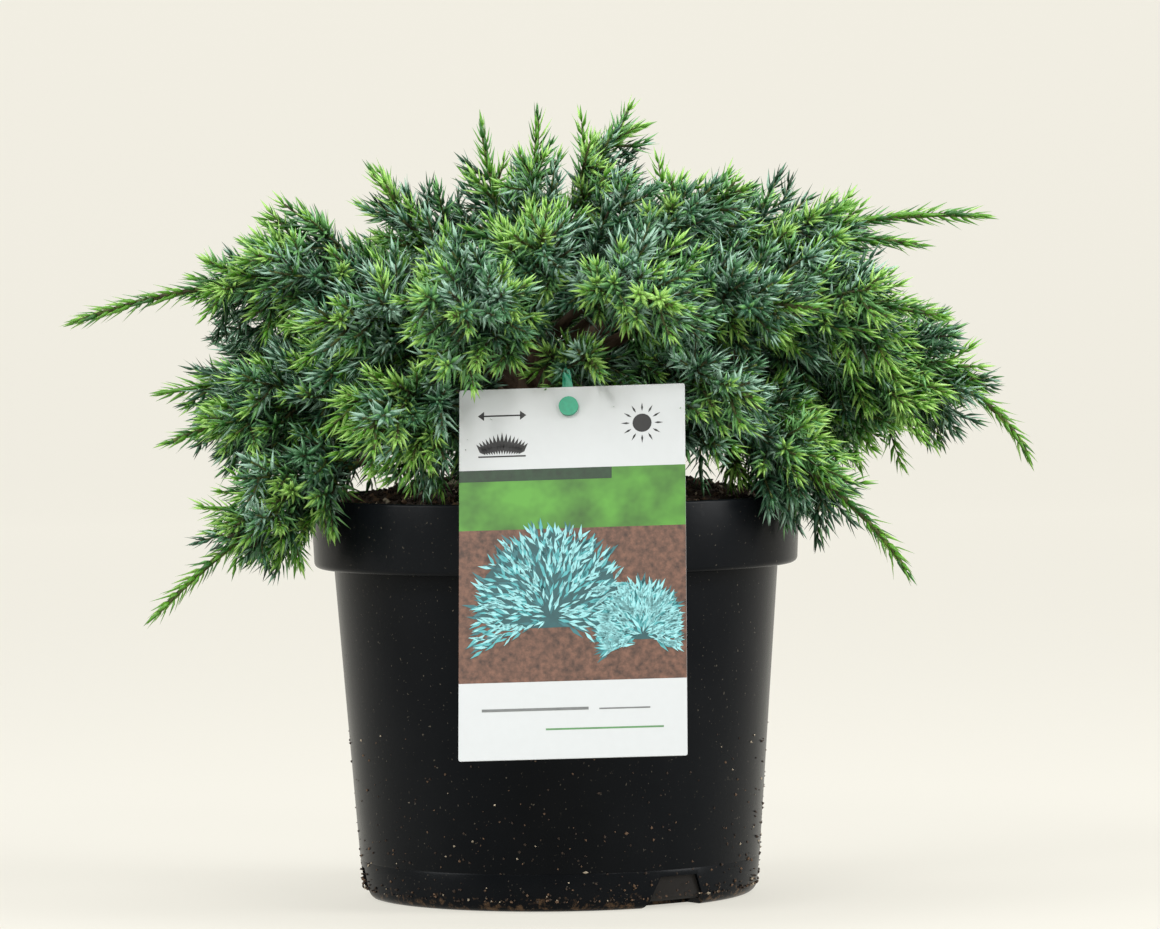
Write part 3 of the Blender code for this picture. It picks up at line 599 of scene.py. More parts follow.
def add_mesh(name, points, faces, looks, slots=None, smooth=False):
    mesh = bpy.data.meshes.new(name)
    if isinstance(points, np.ndarray):
        mesh.vertices.add(len(points))
        mesh.vertices.foreach_set("co", points.astype(np.float32).ravel())
        mesh.loops.add(faces.size)
        mesh.loops.foreach_set("vertex_index", faces.astype(np.int32).ravel())
        mesh.polygons.add(len(faces))
        mesh.polygons.foreach_set("loop_start", np.arange(0, faces.size, 3, dtype=np.int32))
        mesh.update(calc_edges=True)
    else:
        mesh.from_pydata([tuple(p) for p in points], [], faces)
    for look in looks:
        mesh.materials.append(look)
    if slots is not None:
        mesh.polygons.foreach_set("material_index", np.asarray(slots, dtype=np.int32))
    made = bpy.data.objects.new(name, mesh)
    bpy.context.scene.collection.objects.link(made)
    if smooth:
        mesh.shade_smooth()
    return made


def place(piece, slot, *nodes):
    """The piece rides on the one body and stands for the nodes; the slot is not used."""
    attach(piece, "root")
    if nodes:
        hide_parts(*nodes)


class Joined:
    """The corners, faces and material slots of many small shapes, joined as one."""

    def __init__(self):
        self.points, self.faces, self.slots = [], [], []

    def add(self, points, faces, slot=0):
        first = len(self.points)
        self.points += points
        self.faces += [tuple(first + corner for corner in face) for face in faces]
        self.slots += [slot] * len(faces)


def ring_faces(rows, sides):
    """The faces between rings of corners, and one flat face at each end."""
    faces = []
    for row in range(rows):
        low, high = row * sides, (row + 1) * sides
        for k in range(sides):
            n = (k + 1) % sides
            faces.append((low + k, low + n, high + n, high + k))
    faces.append(tuple(reversed(range(sides))))
    faces.append(tuple(range(rows * sides, (rows + 1) * sides)))
    return faces


def turned(name, profile, sides, looks):
    """A profile of radii and heights, turned round the pot's axis."""
    points, rings, faces = [], [], []
    for radius, height in profile:
        if radius == 0.0:
            rings.append([len(points)])
            points.append((0.0, 0.0, height))
            continue
        rings.append(list(range(len(points), len(points) + sides)))
        for k in range(sides):
            angle = 2 * math.pi * k / sides
            points.append((radius * math.cos(angle), radius * math.sin(angle), height))
    for low, high in zip(rings, rings[1:]):
        for k in range(sides):
            n = (k + 1) % sides
            if len(low) == 1:
                faces.append((low[0], high[n], high[k]))
            elif len(high) == 1:
                faces.append((low[k], low[n], high[0]))
            else:
                faces.append((low[k], low[n], high[n], high[k]))
    return add_mesh(name, points, faces, looks, smooth=True)


def arc(centre, radius, first, last, steps):
    points = []
    for k in range(steps + 1):
        angle = math.radians(first + (last - first) * k / steps)
        points.append((centre[0] + radius * math.cos(angle), centre[1] + radius * math.sin(angle)))
    return points


# Pot


def wall_radius(height):
    top = POT_HEIGHT - COLLAR_HEIGHT
    return POT_BASE_RADIUS + (POT_TOP_RADIUS - POT_BASE_RADIUS) * height / top


def inner_outline(inset):
    """The pot's inside from its floor's middle up to the collar's foot, drawn in by the inset."""
    step = POT_HEIGHT - COLLAR_HEIGHT + POT_WALL
    wall = POT_WALL + inset
    return [
        (0.0, POT_FLOOR + inset),
        (wall_radius(0) - wall - POT_BASE_CORNER / 2, POT_FLOOR + inset),
        (wall_radius(POT_BASE_CORNER) - wall, POT_BASE_CORNER + inset),
        (POT_TOP_RADIUS - wall, step + inset),
        (COLLAR_FOOT_RADIUS - wall, step + inset),
    ]


def make_pot():
    step = POT_HEIGHT - COLLAR_HEIGHT
    lip = POT_WALL / 2 + LIP_SWELL
    foot = arc((POT_BASE_RADIUS - POT_BASE_CORNER, POT_BASE_CORNER), POT_BASE_CORNER, -90, 0, 8)
    line = []
    for rise, depth in BASE_LINE_PROFILE:
        height = BASE_LINE_HEIGHT + rise
        line.append((wall_radius(height) - depth, height))
    corner = arc((COLLAR_FOOT_RADIUS - COLLAR_CORNER, step + COLLAR_CORNER), COLLAR_CORNER, -90, 0, 6)
    rim = arc((COLLAR_TOP_RADIUS - lip, POT_HEIGHT - lip), lip, 0, 180, 8)
    outside = [(0.0, 0.0), *foot, *line, (POT_TOP_RADIUS, step), *corner, *rim]
    pot = turned("pot_shell", outside + inner_outline(0.0)[::-1], POT_SIDES, [pot_material()])
    cutters = [notch_cutter(k) for k in range(NOTCH_COUNT)]
    for cutter in cutters:
        cut = pot.modifiers.new("notch", "BOOLEAN")
        cut.operation = "DIFFERENCE"
        cut.object = cutter
    depsgraph = bpy.context.evaluated_depsgraph_get()
    result = bpy.data.meshes.new_from_object(pot.evaluated_get(depsgraph))
    pot.modifiers.clear()
    pot.data = result
    for cutter in cutters:
        bpy.data.objects.remove(cutter, do_unlink=True)
    result.shade_smooth()
    result.set_sharp_from_angle(angle=math.radians(SHARP_ANGLE))
    place(pot, "pot", "pot")


def make_grit():
    """Bits of dried soil that cling to the pot's wall, thickest low down."""
    rng = random.Random(SEED + 3)
    bits = Joined()
    for _ in range(GRIT_COUNT):
        height = GRIT_LOWEST + GRIT_REACH * rng.random() ** GRIT_GATHERING
        azimuth = math.radians(rng.uniform(0, 360))
        size = rng.uniform(*GRIT_SIZES)
        out = wall_radius(height)
        centre = Vector((out * math.cos(azimuth), out * math.sin(azimuth), height))
        add_crumb(bits, rng, centre, size, rng.uniform(*GRIT_STRETCH))
    place(crumb_piece("pot_grit", bits), "soil")


def notch_cutter(index):
    """A wedge through the wall and the floor's edge, wider at its foot."""
    slope = (NOTCH_FOOT_WIDTH - NOTCH_HEAD_WIDTH) / NOTCH_HEIGHT
    foot = (NOTCH_HEAD_WIDTH + slope * (NOTCH_HEIGHT + NOTCH_CUT_BELOW)) / 2
    head = NOTCH_HEAD_WIDTH / 2
    low, high = -NOTCH_CUT_BELOW, NOTCH_HEIGHT
    outline = [(foot, low), (head, high), (-head, high), (-foot, low)]
    inner, outer = POT_BASE_RADIUS - NOTCH_DEPTH, POT_BASE_RADIUS + NOTCH_DEPTH
    points = [(r, y, z) for r in (inner, outer) for y, z in outline]
    cutter = add_mesh("notch_cutter", points, ring_faces(1, len(outline)), [])
    turn = math.radians(NOTCH_AZIMUTH + 360 * index / NOTCH_COUNT)
    cutter.data.transform(Matrix.Rotation(turn, 4, "Z"))
    return cutter


# Soil


def lumps(x, y):
    """The soil's uneven surface."""
    wave = math.sin(x * 310 + 1.3) * math.cos(y * 270 + 0.4) + 0.6 * math.sin(x * 640 - y * 520)
    return wave * LUMP_HEIGHT


def make_soil():
    """The soil's bed, its faces inside the pot near black as painted shade, with crumbs on its top."""
    rng = random.Random(SEED)
    inner = inner_outline(GAP)
    edge = inner[-1][0]
    surface = []
    for k in range(SOIL_RINGS + 1):
        radius = edge * (1 - k / SOIL_RINGS)
        surface.append((radius, soil_height(radius)))
    # Painted shade: the soil's sides and floor, against the pot's wall and seen through the notches, are near
    # black
    soil_shade_look = mottled("soil_painted_shade", (0.007, 0.005, 0.004), 0.95, 0.5, 500.0)
    soil = turned("soil_bed", [*inner, *surface], SOIL_SIDES, [soil_material(), soil_shade_look])
    for face in soil.data.polygons:
        if face.center.z < SOIL_EDGE_HEIGHT - PAINTED_SHADE_BELOW:
            face.material_index = 1
    for vertex in soil.data.vertices:
        out = math.hypot(vertex.co.x, vertex.co.y)
        if vertex.co.z > SOIL_EDGE_HEIGHT - 0.001 and out < edge - 0.001:
            vertex.co.z += lumps(vertex.co.x, vertex.co.y) + rng.uniform(-1, 1) * SOIL_GRAIN
    place(soil, "soil", "soil")
    make_crumbs(rng, edge)


def add_crumb(bits, rng, centre, size, stretch):
    """One uneven lump, turned any way, in one of three colours."""
    turn = Matrix.Rotation(rng.uniform(0, 6.3), 3, direction(rng.uniform(0, 360), rng.uniform(-90, 90)))
    corners = []
    for axis in OCTAHEDRON_CORNERS:
        corner = Vector(axis) * size * rng.uniform(0.6, 1.1)
        corner.x *= stretch
        corners.append(centre + turn @ corner)
    pick = rng.random()
    bits.add(corners, OCTAHEDRON_FACES, sum(pick >= up_to for up_to in CRUMB_TINTS_UP_TO))


def crumb_piece(name, bits):
    looks = [
        mottled(name + "_dark", (0.035, 0.020, 0.012), 0.95, 0.5, 900.0),
        mottled(name + "_brown", (0.13, 0.075, 0.042), 0.95, 0.5, 900.0),
        mottled(name + "_pale", (0.42, 0.35, 0.26), 0.9, 0.4, 900.0),
    ]
    return add_mesh(name, bits.points, bits.faces, looks, bits.slots)


def make_crumbs(rng, edge):
    """Bits of bark, peat and pale grit on the soil."""
    bits = Joined()
    for _ in range(CRUMB_COUNT):
        out = (edge - CRUMBS_FROM_EDGE) * math.sqrt(rng.random())
        angle = rng.uniform(0, 2 * math.pi)
        x, y = out * math.cos(angle), out * math.sin(angle)
        size = rng.uniform(*CRUMB_SIZES)
        centre = Vector((x, y, soil_height(out) + lumps(x, y) + size * 0.2))
        add_crumb(bits, rng, centre, size, rng.uniform(*CRUMB_STRETCH))
    place(crumb_piece("soil_crumbs", bits), "soil")


# Bark


def tube(path, first, last, radii, sides, step, rng=None, relief=0.0):
    """Corners and faces of a tapering tube, with an uneven surface where there is relief."""
    points = []
    stops = path.part(first, last, step)
    side = path.heading(first).orthogonal()
    for row, s in enumerate(stops):
        ahead = path.heading(s)
        side = (side - ahead * side.dot(ahead)).normalized()
        other = ahead.cross(side)
        radius = radii[0] + (radii[1] - radii[0]) * row / (len(stops) - 1)
        centre = path.at(s)
        for k in range(sides):
            angle = 2 * math.pi * k / sides
            uneven = radius * (1 + (rng.uniform(-relief, relief) if rng else 0.0))
            points.append(centre + side * (uneven * math.cos(angle)) + other * (uneven * math.sin(angle)))
    return points, ring_faces(len(stops) - 1, sides)


def stem_shape(rng):
    """Corners and faces of the stem, lobed at its flare and furrowed all the way up."""
    points = []
    for row in range(BARK_ROWS + 1):
        height = STEM_HEIGHT * row / BARK_ROWS
        flare = math.exp(-height / STEM_FLARE_HEIGHT)
        for k in range(BARK_SIDES):
            angle = 2 * math.pi * k / BARK_SIDES
            lobe = FLARE_LOBE_SHARE * flare * math.cos(FLARE_LOBES * angle + 0.6)
            furrow = FURROW_DEPTH * math.sin(angle * FURROWS + height * FURROW_TWIST)
            furrow += rng.uniform(-1, 1) * BARK_GRAIN
            radius = stem_radius(height) * (1 + lobe) - GAP + furrow
            if row == BARK_ROWS:
                radius -= STEM_ROUNDING
            points.append(stem_axis(height) + Vector((radius * math.cos(angle), radius * math.sin(angle), 0)))
    return points, ring_faces(BARK_ROWS, BARK_SIDES)


def make_limbs(shoots, paths):
    rng = random.Random(SEED + 5)
    look = bark_material()
    place(add_mesh("stem_bark", *stem_shape(rng), [look], smooth=True), "bark", "stem")
    for name, shoot in shoots.items():
        if shoot.bare > 0:
            path = paths[name]
            radii = (BOUGH_ROOT_RADIUS * 1.08, BOUGH_TIP_RADIUS)
            end = path.length * shoot.bare + 0.002
            shape = tube(path, 0.004, end, radii, 12, 0.0018, rng, BOUGH_RELIEF)
            place(add_mesh("bark_" + name, *shape, [look], smooth=True), "bark", "bough_" + name)


# Foliage


def splayed(ahead, roll, splay):
    """A heading that leaves the one ahead by the splay, towards the side that the roll gives."""
    side = ahead.cross(Vector((0, 0, 1)))
    if side.length < 0.1:
        side = ahead.cross(Vector((1, 0, 0)))
    side.normalize()
    up = side.cross(ahead)
    turn = math.radians(roll)
    lean = side * math.cos(turn) + up * math.sin(turn)
    angle = math.radians(splay)
    return (ahead * math.cos(angle) + lean * math.sin(angle)).normalized()


def twig_path(root, heading, forward, length):
    """A twig that leaves along its heading, swings a little forward and droops."""
    end = root + (heading * 0.72 + forward * 0.28).normalized() * length
    end.z -= TWIG_DROOP * length
    return hermite(root, end, heading * length, (heading + forward * 0.9).normalized() * length, 10)


def share_inside(space, index, path, radius, first):
    """How much of a twig stays in its mass's own space, in steps of a sixth."""
    steps = 6
    for k in range(1, steps + 1):
        s = path.length * k / steps
        if s > first and not space.holds(index, path.at(s), radius):
            return (k - 1) / steps
    return 1.0


def twig_reach(to_tip, whip):
    if to_tip < whip:
        return 0.0
    return min(TWIG_LONGEST, TWIG_SHORTEST + TWIG_GROWTH * (to_tip - whip))


Axis = namedtuple("Axis", "path first last radius order tint")


def grow(index, shoot, path, space):
    """Every stem, twig and sprig of one mass, as axes that needles stand on."""
    rng = random.Random(SEED * 100 + index)
    first = path.length * shoot.bare + (BARE_AT_STEM if shoot.bare == 0.0 else 0.0)
    tip = path.length - TIP_SHORT
    axes = [Axis(path, first, tip, SPINE_ROOT_RADIUS, 0, rng.random())]
    roll = rng.uniform(0, 360)
    s = first
    while s < tip - NO_TWIGS_NEAR_TIP:
        roll += GOLDEN_TURN + rng.uniform(-TWIG_ROLL, TWIG_ROLL)
        to_tip = tip - s
        longest = twig_reach(to_tip, shoot.whip) * rng.uniform(*TWIG_LENGTHS)
        s += TWIG_PITCH * rng.uniform(*TWIG_GAPS)
        if longest < SPRIG_SHORTEST:
            continue
        ahead = path.heading(s)
        heading = splayed(ahead, roll, TWIG_SPLAY + rng.uniform(-SPLAY_SPREAD, SPLAY_SPREAD))
        twig = twig_path(path.at(s), heading, ahead, longest)
        reach = twig.length * share_inside(space, index, twig, TWIG_ROOM, TWIG_FOOT)
        if reach >= SPRIG_SHORTEST:
            tint = rng.random()
            axes.append(Axis(twig, 0.0, reach, TWIG_RADIUS, 1, tint))
            if to_tip > NO_SPRIGS_NEAR_TIP:
                axes += sprigs_on(twig, reach, tint, index, space, rng)
    return axes


def sprigs_on(twig, reach, tint, index, space, rng):
    made = []
    roll = rng.uniform(0, 360)
    s = SPRIGS_FROM
    while s < reach - SPRIGS_TO_TIP:
        roll += GOLDEN_TURN + rng.uniform(-SPRIG_ROLL, SPRIG_ROLL)
        longest = min(SPRIG_LONGEST, SPRIG_SHORTEST + SPRIG_GROWTH * (reach - s))
        longest *= rng.uniform(*SPRIG_LENGTHS)
        ahead = twig.heading(s)
        heading = splayed(ahead, roll, SPRIG_SPLAY + rng.uniform(-SPLAY_SPREAD, SPLAY_SPREAD))
        sprig = twig_path(twig.at(s), heading, ahead, longest)
        kept = sprig.length * share_inside(space, index, sprig, SPRIG_ROOM, SPRIG_FOOT)
        if kept >= SPRIG_SHORTEST * SPRIG_LEAST:
            made.append(Axis(sprig, 0.0, kept, SPRIG_RADIUS, 2, (tint + rng.uniform(-0.15, 0.15)) % 1.0))
        s += SPRIG_PITCH * rng.uniform(*SPRIG_GAPS)
    return made


TINTS = (
    ("deep", (0.003, 0.026, 0.006), (0.040, 0.132, 0.068)),
    ("mid", (0.006, 0.045, 0.008), (0.078, 0.216, 0.094)),
    ("blue", (0.011, 0.062, 0.027), (0.262, 0.440, 0.328)),
    ("green", (0.018, 0.100, 0.009), (0.136, 0.345, 0.104)),
    ("bright", (0.078, 0.240, 0.013), (0.295, 0.535, 0.115)),
)
DEEP, MID, BLUE, GREEN, BRIGHT = range(5)


def tint_of(axis, share, rng):
    """Old needles are deep and bluish, and those near growing tips are green to bright."""
    to_tip = axis.last - (axis.first + (axis.last - axis.first) * share)
    if axis.order == 0 and to_tip < SPINE_FRESH:
        return BRIGHT if rng.random() < SPINE_BRIGHT - to_tip * SPINE_BRIGHT_FALL else GREEN
    if to_tip < TWIG_FRESH and axis.tint > FRESH_TWIGS_OVER:
        return BRIGHT if axis.tint > BRIGHT_TWIGS_OVER or to_tip < TWIG_FRESHEST else GREEN
    if to_tip < TWIG_GREEN and axis.tint > GREEN_TWIGS_OVER:
        return GREEN
    pick = (axis.tint * OLD_TINT_TURN + rng.random() * OLD_TINT_SPREAD) % 1.0
    for tint, up_to in zip((DEEP, MID, BLUE), OLD_TINTS_UP_TO):
        if pick < up_to:
            return tint
    return GREEN


def needles_of(axis, rng):
    """Root, heading, flat, length and tint of each needle on one axis, in whorls."""
    needles = []
    side = axis.path.heading(axis.first).orthogonal()
    reach = axis.last - axis.first
    count = max(2, int(reach / WHORL_PITCH))
    turn = rng.uniform(0, 360)
    for k in range(count + 1):
        share = k / count
        s = axis.first + reach * share
        ahead = axis.path.heading(s)
        side = (side - ahead * side.dot(ahead)).normalized()
        other = ahead.cross(side)
        root = axis.path.at(s)
        turn += WHORL_TURN + rng.uniform(-WHORL_SPREAD, WHORL_SPREAD)
        near_tip = max(0.0, 1 - (axis.last - s) / TIP_FOLD_REACH)
        splay = (NEEDLE_SPLAY if axis.order else SPINE_NEEDLE_SPLAY) - TIP_FOLD * near_tip
        shorter = 1 - TIP_NEEDLE_LOSS * near_tip
        tint = tint_of(axis, share, rng)
        for n in range(NEEDLES_A_WHORL):
            angle = math.radians(turn + 360 / NEEDLES_A_WHORL * n)
            out = side * math.cos(angle) + other * math.sin(angle)
            lean = math.radians(splay + rng.uniform(-NEEDLE_SPREAD, NEEDLE_SPREAD))
            way = ahead * math.cos(lean) + out * math.sin(lean)
            length = NEEDLE_LENGTH * shorter * rng.uniform(*NEEDLE_LENGTHS)
            needles.append((root, way, ahead, length, tint))
    return needles


def needles_on(axes, rng):
    """The needles of one mass, as arrays, but for those that would enter the pot, soil or card."""
    needles = [needle for axis in axes for needle in needles_of(axis, rng)]
    roots, ways, flats, lengths, tints = (np.array(column) for column in zip(*needles))
    reach = ways * lengths[:, None]
    keep = ~(inside_solids(roots + reach) | inside_solids(roots + reach / 2))
    return [values[keep] for values in (roots, ways, flats, lengths, tints)]


def needle_meshes(roots, ways, flats, lengths):
    """Corners and triangles of many pointed needles at once: a foot, a waist of four corners and a tip."""
    across = np.cross(ways, flats)
    across /= np.maximum(np.linalg.norm(across, axis=1, keepdims=True), 1e-9)
    flat = np.cross(across, ways)
    size = lengths[:, None]
    scale = size / NEEDLE_LENGTH
    waist = roots + ways * size * NEEDLE_WIDEST_AT - flat * NEEDLE_HOLLOW
    half_width, half_depth = NEEDLE_WIDTH / 2 * scale, NEEDLE_THICKNESS / 2 * scale
    tip = roots + ways * size + flat * size * NEEDLE_TIP_CURL
    corners = (
        roots,
        waist + across * half_width,
        waist + flat * half_depth,
        waist - across * half_width,
        waist - flat * half_depth,
        tip,
    )
    points = np.stack(corners, axis=1).reshape(-1, 3)
    first = np.arange(len(roots))[:, None, None] * len(corners)
    return points, (first + np.array(NEEDLE_FACES)[None]).reshape(-1, 3)


def inside_solids(points):
    """Which points lie in the pot's wall, the soil or the card, or all but touch them."""
    out = np.hypot(points[:, 0], points[:, 1])
    top = np.where(out > COLLAR_TOP_RADIUS - CLEAR_OF_RIM, POT_HEIGHT, soil_height(out))
    in_pot = (out < COLLAR_TOP_RADIUS + CLEAR_OF_POT) & (points[:, 2] < top + CLEAR_OF_POT)
    to_card = np.array(card_frame().inverted())
    local = np.abs(points @ to_card[:3, :3].T + to_card[:3, 3])
    across = local[:, 0] < CARD_WIDTH / 2 + BESIDE_CARD
    upright = local[:, 1] < CARD_HEIGHT / 2 + BESIDE_CARD
    return in_pot | (across & upright & (local[:, 2] < CLEAR_OF_CARD))


def make_foliage(shoots, paths):
    """Grows every mass, and joins the needles in a few pieces and the twigs in one."""
    space = Space(shoots, paths)
    looks = []
    for name, lower, upper in TINTS:
        looks.append(needle_material("needle_back_" + name, lower, 0.42))
        looks.append(needle_material("needle_face_" + name, upper, 0.33))
    twigs = Joined()
    batch, names, count, number = [], [], 0, 1
    for index, (name, shoot) in enumerate(shoots.items()):
        axes = grow(index, shoot, paths[name], space)
        needles = needles_on(axes, random.Random(SEED * 1000 + index))
        faces_here = len(needles[0]) * len(NEEDLE_FACES)
        if count + faces_here > MOST_FACES:
            finish_batch(batch, names, number, looks)
            batch, names, count, number = [], [], 0, number + 1
        batch.append(needles)
        names.append("foliage_" + name)
        count += faces_here
        for axis in axes:
            radii = (axis.radius, axis.radius * TWIG_TAPER)
            sides = 6 if axis.order == 0 else 4
            twigs.add(*tube(axis.path, axis.first, axis.last, radii, sides, TWIG_STEP))
    finish_batch(batch, names, number, looks)
    place(add_mesh("twigs", twigs.points, twigs.faces, [twig_material()], smooth=True), "bark")


def finish_batch(batch, names, number, looks):
    """Joins the needles of several masses as one piece, each needle with a pale and a dark side."""
    roots, ways, flats, lengths, tints = (np.concatenate([part[k] for part in batch]) for k in range(5))
    points, faces = needle_meshes(roots, ways, flats, lengths)
    slots = np.repeat(tints * 2, len(NEEDLE_FACES)) + np.tile(np.array(NEEDLE_FACES_UP), len(roots))
    place(add_mesh(f"needles_{number}", points, faces, looks, slots), "needles", *names)


# Card


def flat_shape(outline, lift, depth):
    """A thin plate on the card's face, from its outline in the card's own axes."""
    points = [(x, y, z) for z in (lift, lift + depth) for x, y in outline]
    return points, ring_faces(1, len(outline))


def rounded(width, height, radius, steps=5):
    """A rectangle's outline with round corners."""
    points = []
    for sx, sy, first in ((1, 1, 0), (-1, 1, 90), (-1, -1, 180), (1, -1, 270)):
        middle = (sx * (width / 2 - radius), sy * (height / 2 - radius))
        points += arc(middle, radius, first, first + 90, steps)
    return points


def add_print(name, shapes, look, lift):
    """Printed marks: thin plates joined into one piece."""
    plates = Joined()
    for outline in shapes:
        plates.add(*flat_shape(outline, lift, INK_DEPTH))
    piece = add_mesh(name, plates.points, plates.faces, [look])
    piece.data.transform(card_frame())
    place(piece, "card")


def bar(x0, y0, x1, y1):
    return [(x0, y0), (x1, y0), (x1, y1), (x0, y1)]


def blade(root, angle, length, width):
    """One slim pointed stroke, as an outline."""
    ahead = (math.cos(angle), math.sin(angle))
    side = (-ahead[1], ahead[0])
    middle = (root[0] + ahead[0] * length * 0.4, root[1] + ahead[1] * length * 0.4)
    return [
        root,
        (middle[0] - side[0] * width / 2, middle[1] - side[1] * width / 2),
        (root[0] + ahead[0] * length, root[1] + ahead[1] * length),
        (middle[0] + side[0] * width / 2, middle[1] + side[1] * width / 2),
    ]


def make_card():
    """The white card, and the bands, mounds and marks that are printed on it."""
    top, half, face = CARD_HEIGHT / 2, CARD_WIDTH / 2, CARD_THICKNESS / 2
    white = mottled("card_white", (0.530, 0.553, 0.567), 0.38, 0.02)
    shape = flat_shape(rounded(CARD_WIDTH, CARD_HEIGHT, CARD_CORNER), -face, CARD_THICKNESS)
    card = add_mesh("card_stock", *shape, [white])
    card.data.transform(card_frame())
    place(card, "card", "label_card")
    picture_top, picture_foot = top - PICTURE_TOP, top - PICTURE_FOOT
    lawn_foot = picture_top - LAWN_DEPTH
    hedge_foot = picture_top - HEDGE_DEPTH
    lawn = mottled("card_lawn_green", (0.085, 0.29, 0.030), 0.4, 0.75, 60.0)
    earth = mottled("card_earth_brown", (0.17, 0.080, 0.050), 0.4, 0.75, 420.0)
    hedge = mottled("card_hedge_green", (0.012, 0.045, 0.016), 0.4, 0.5, 300.0)
    add_print("card_lawn", [bar(-half, lawn_foot, half, picture_top)], lawn, face)
    add_print("card_earth", [bar(-half, picture_foot, half, lawn_foot)], earth, face)
    add_print("card_hedge", [bar(-half, hedge_foot, half * 0.35, picture_top)], hedge, face + INK_DEPTH)
    make_card_mounds(picture_foot + MOUND_LEVEL, face + 2 * INK_DEPTH)
    make_card_marks(top, face)


def make_card_mounds(level, lift):
    """The picture's planting: one broad low mound and a smaller one beside it, in blue-green strokes."""
    rng = random.Random(SEED + 9)
    tints = {
        "core": ((0.016, 0.085, 0.095), []),
        "shade": ((0.030, 0.150, 0.170), []),
        "body": ((0.085, 0.390, 0.420), []),
        "light": ((0.290, 0.640, 0.670), []),
    }
    for (x, rise), wide, high in MOUNDS:
        y = level + rise
        core = []
        for k in range(48):
            angle = 2 * math.pi * k / 48
            swell = 0.84 + rng.uniform(-0.05, 0.05)
            flat = 1.0 if math.sin(angle) > 0 else 0.10
            core.append((x + wide * swell * math.cos(angle), y + high * swell * flat * math.sin(angle)))
        tints["core"][1].append(core)
        for k in range(MOUND_STROKES):
            angle = rng.uniform(-0.35, math.pi + 0.35)
            out = math.sqrt(rng.random()) * 0.86
            root = (x + wide * out * math.cos(angle), y + high * out * math.sin(angle))
            in_shade = k < SHADE_STROKES
            tint = "shade" if in_shade else "body" if k < BODY_STROKES else "light"
            length = rng.uniform(0.003, 0.0065) * (1.25 if in_shade else 1.0)
            if abs(root[0]) + length < CARD_WIDTH / 2:
                tints[tint][1].append(blade(root, angle + rng.uniform(-0.6, 0.6), length, length * 0.22))
    for rank, (name, (colour, shapes)) in enumerate(tints.items()):
        look = mottled("card_mound_" + name, colour, 0.4, 0.25)
        add_print("card_mound_" + name, shapes, look, lift + MOUND_LIFT * rank)


def make_card_marks(top, face):
    """Plain marks in the white margins: a double arrow, a tuft on a line, a sun and ruled lines."""
    ink = mottled("card_ink", (0.012, 0.012, 0.013), 0.45, 0.3)
    left = -0.0265
    shapes = [bar(left - 0.0075, top - 0.0108, left + 0.0075, top - 0.0102)]
    for sign in (-1, 1):
        tip = (left + sign * 0.0092, top - 0.0105)
        wing = (left + sign * 0.0068, top - 0.0105)
        shapes.append([tip, (wing[0], wing[1] + sign * 0.0018), (wing[0], wing[1] - sign * 0.0018)])
    shapes.append(bar(left - 0.0090, top - 0.0268, left + 0.0090, top - 0.0262))
    for k in range(15):
        spread = (k - 7) / 7
        root = (left + spread * 0.0062, top - 0.0258)
        angle = math.radians(90 - spread * 40)
        shapes.append(blade(root, angle, 0.0088 - abs(spread) * 0.0032, 0.0021))
    sun = (0.0265, top - 0.0150)
    shapes.append(arc(sun, 0.0036, 0, 345, 23))
    for k in range(12):
        angle = math.radians(30 * k)
        root = (sun[0] + 0.0046 * math.cos(angle), sun[1] + 0.0046 * math.sin(angle))
        shapes.append(blade(root, angle, 0.0034, 0.0008))
    add_print("card_marks", shapes, ink, face)
    grey = mottled("card_grey", (0.16, 0.17, 0.17), 0.45, 0.2)
    foot = -top + 0.0185
    rules = [bar(-0.034, foot, 0.006, foot + 0.0011), bar(0.010, foot, 0.029, foot + 0.0006)]
    add_print("card_rules", rules, grey, face)
    green = mottled("card_leaf_green", (0.10, 0.26, 0.10), 0.45, 0.2)
    add_print("card_green_rule", [bar(-0.010, foot - 0.0075, 0.034, foot - 0.0068)], green, face)


# Floor, light and camera


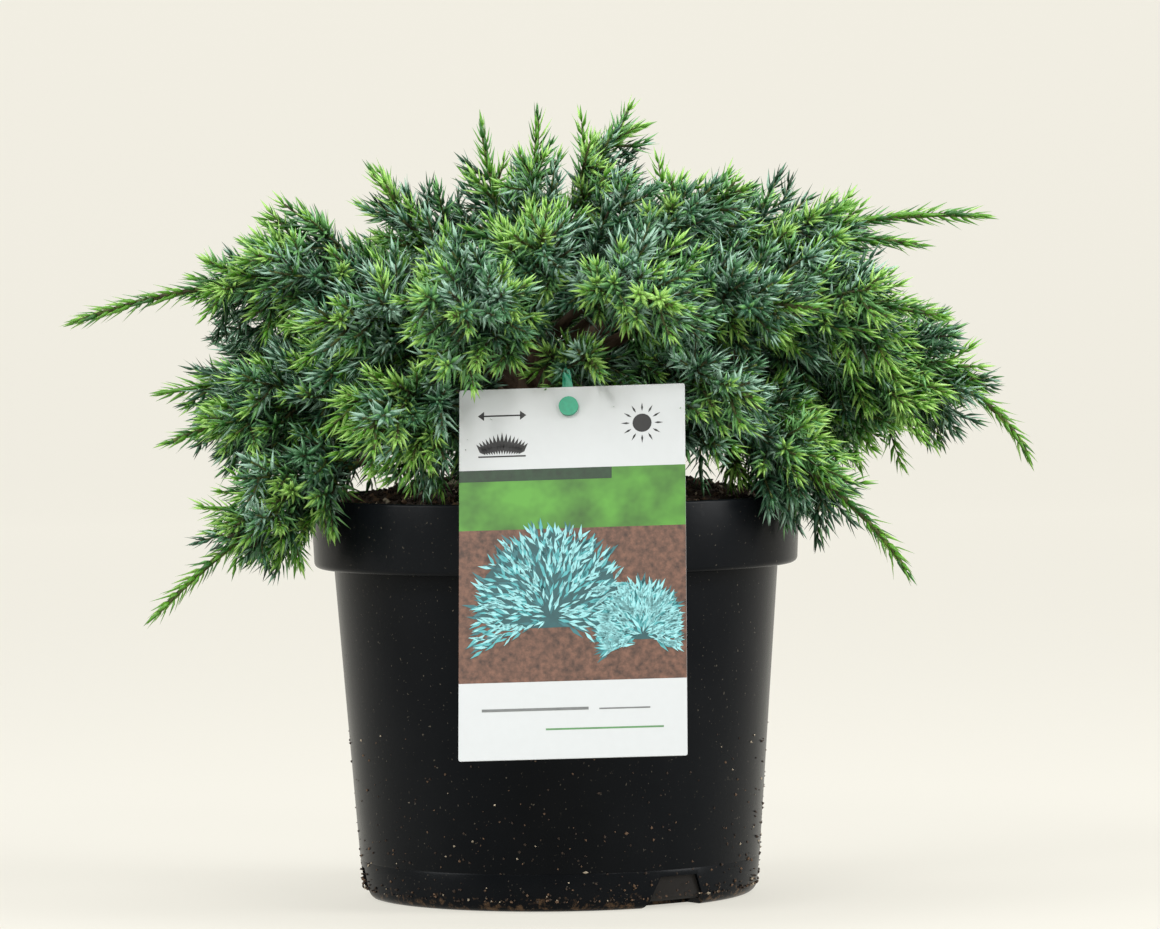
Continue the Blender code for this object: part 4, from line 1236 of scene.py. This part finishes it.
def make_stage():
    """A pale round floor that curves up into a wall all round, lit from within most at the back."""
    profile = [(0.0, 0.0), *arc((STUDIO_RADIUS - STUDIO_CURVE, STUDIO_CURVE), STUDIO_CURVE, -90, 0, 12)]
    profile.append((STUDIO_RADIUS, STUDIO_HEIGHT))
    look = Look("cream_paper")
    stops = ((0.3, (0.170, 0.165, 0.149)), (0.7, (0.172, 0.167, 0.151)))
    look.put("Base Color", look.ramp(look.noise(300.0, 3.0), stops))
    look.put("Roughness", 0.8)
    look.put("Emission Color", (*STUDIO_GLOW, 1.0))
    depth = look.along("Y", look.coords())
    glow = look.scaled(depth, (-STUDIO_RADIUS, STUDIO_RADIUS), STUDIO_GLOW_RANGE)
    look.put("Emission Strength", glow)
    paper = look.made
    turned("backdrop", profile, 96, [paper])


def add_light(name, place_at, aim, size, power, colour):
    lamp = bpy.data.lights.new(name, "AREA")
    lamp.shape = "RECTANGLE"
    lamp.size, lamp.size_y = size
    lamp.energy = power
    lamp.color = colour
    made = bpy.data.objects.new(name, lamp)
    made.location = place_at
    made.rotation_euler = (Vector(aim) - Vector(place_at)).to_track_quat("-Z", "Y").to_euler()
    bpy.context.scene.collection.objects.link(made)


def make_light():
    world = bpy.data.worlds.new("studio")
    world.use_nodes = True
    world.node_tree.nodes["Background"].inputs["Color"].default_value = WORLD_COLOUR
    world.node_tree.nodes["Background"].inputs["Strength"].default_value = WORLD_STRENGTH
    scene = bpy.context.scene
    scene.world = world
    for light in LIGHTS:
        add_light(*light)
    scene.view_settings.view_transform = "Standard"
    scene.view_settings.look = "None"


def make_camera():
    lens = bpy.data.cameras.new("photo_camera")
    lens.sensor_width = 36.0
    lens.lens = CAMERA_LENS
    lens.clip_end = 20.0
    made = bpy.data.objects.new("photo_camera", lens)
    level = Matrix.Rotation(math.radians(90 - CAMERA_DROP), 4, "X")
    turn = Matrix.Rotation(math.radians(CAMERA_TURN), 4, "Z")
    made.matrix_world = Matrix.Translation(CAMERA_PLACE) @ level @ turn
    bpy.context.scene.collection.objects.link(made)
    bpy.context.scene.camera = made


def main():
    make_camera()
    shoots = all_shoots()
    paths = shoot_paths(shoots)
    make_pot()
    make_grit()
    make_soil()
    make_limbs(shoots, paths)
    make_foliage(shoots, paths)
    make_card()
    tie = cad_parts["label_tie"]
    tie.material_slots[0].material = mottled("green_plastic", (0.010, 0.30, 0.17), 0.34, 0.2, 700.0, 2.0)
    make_stage()
    make_light()


main()
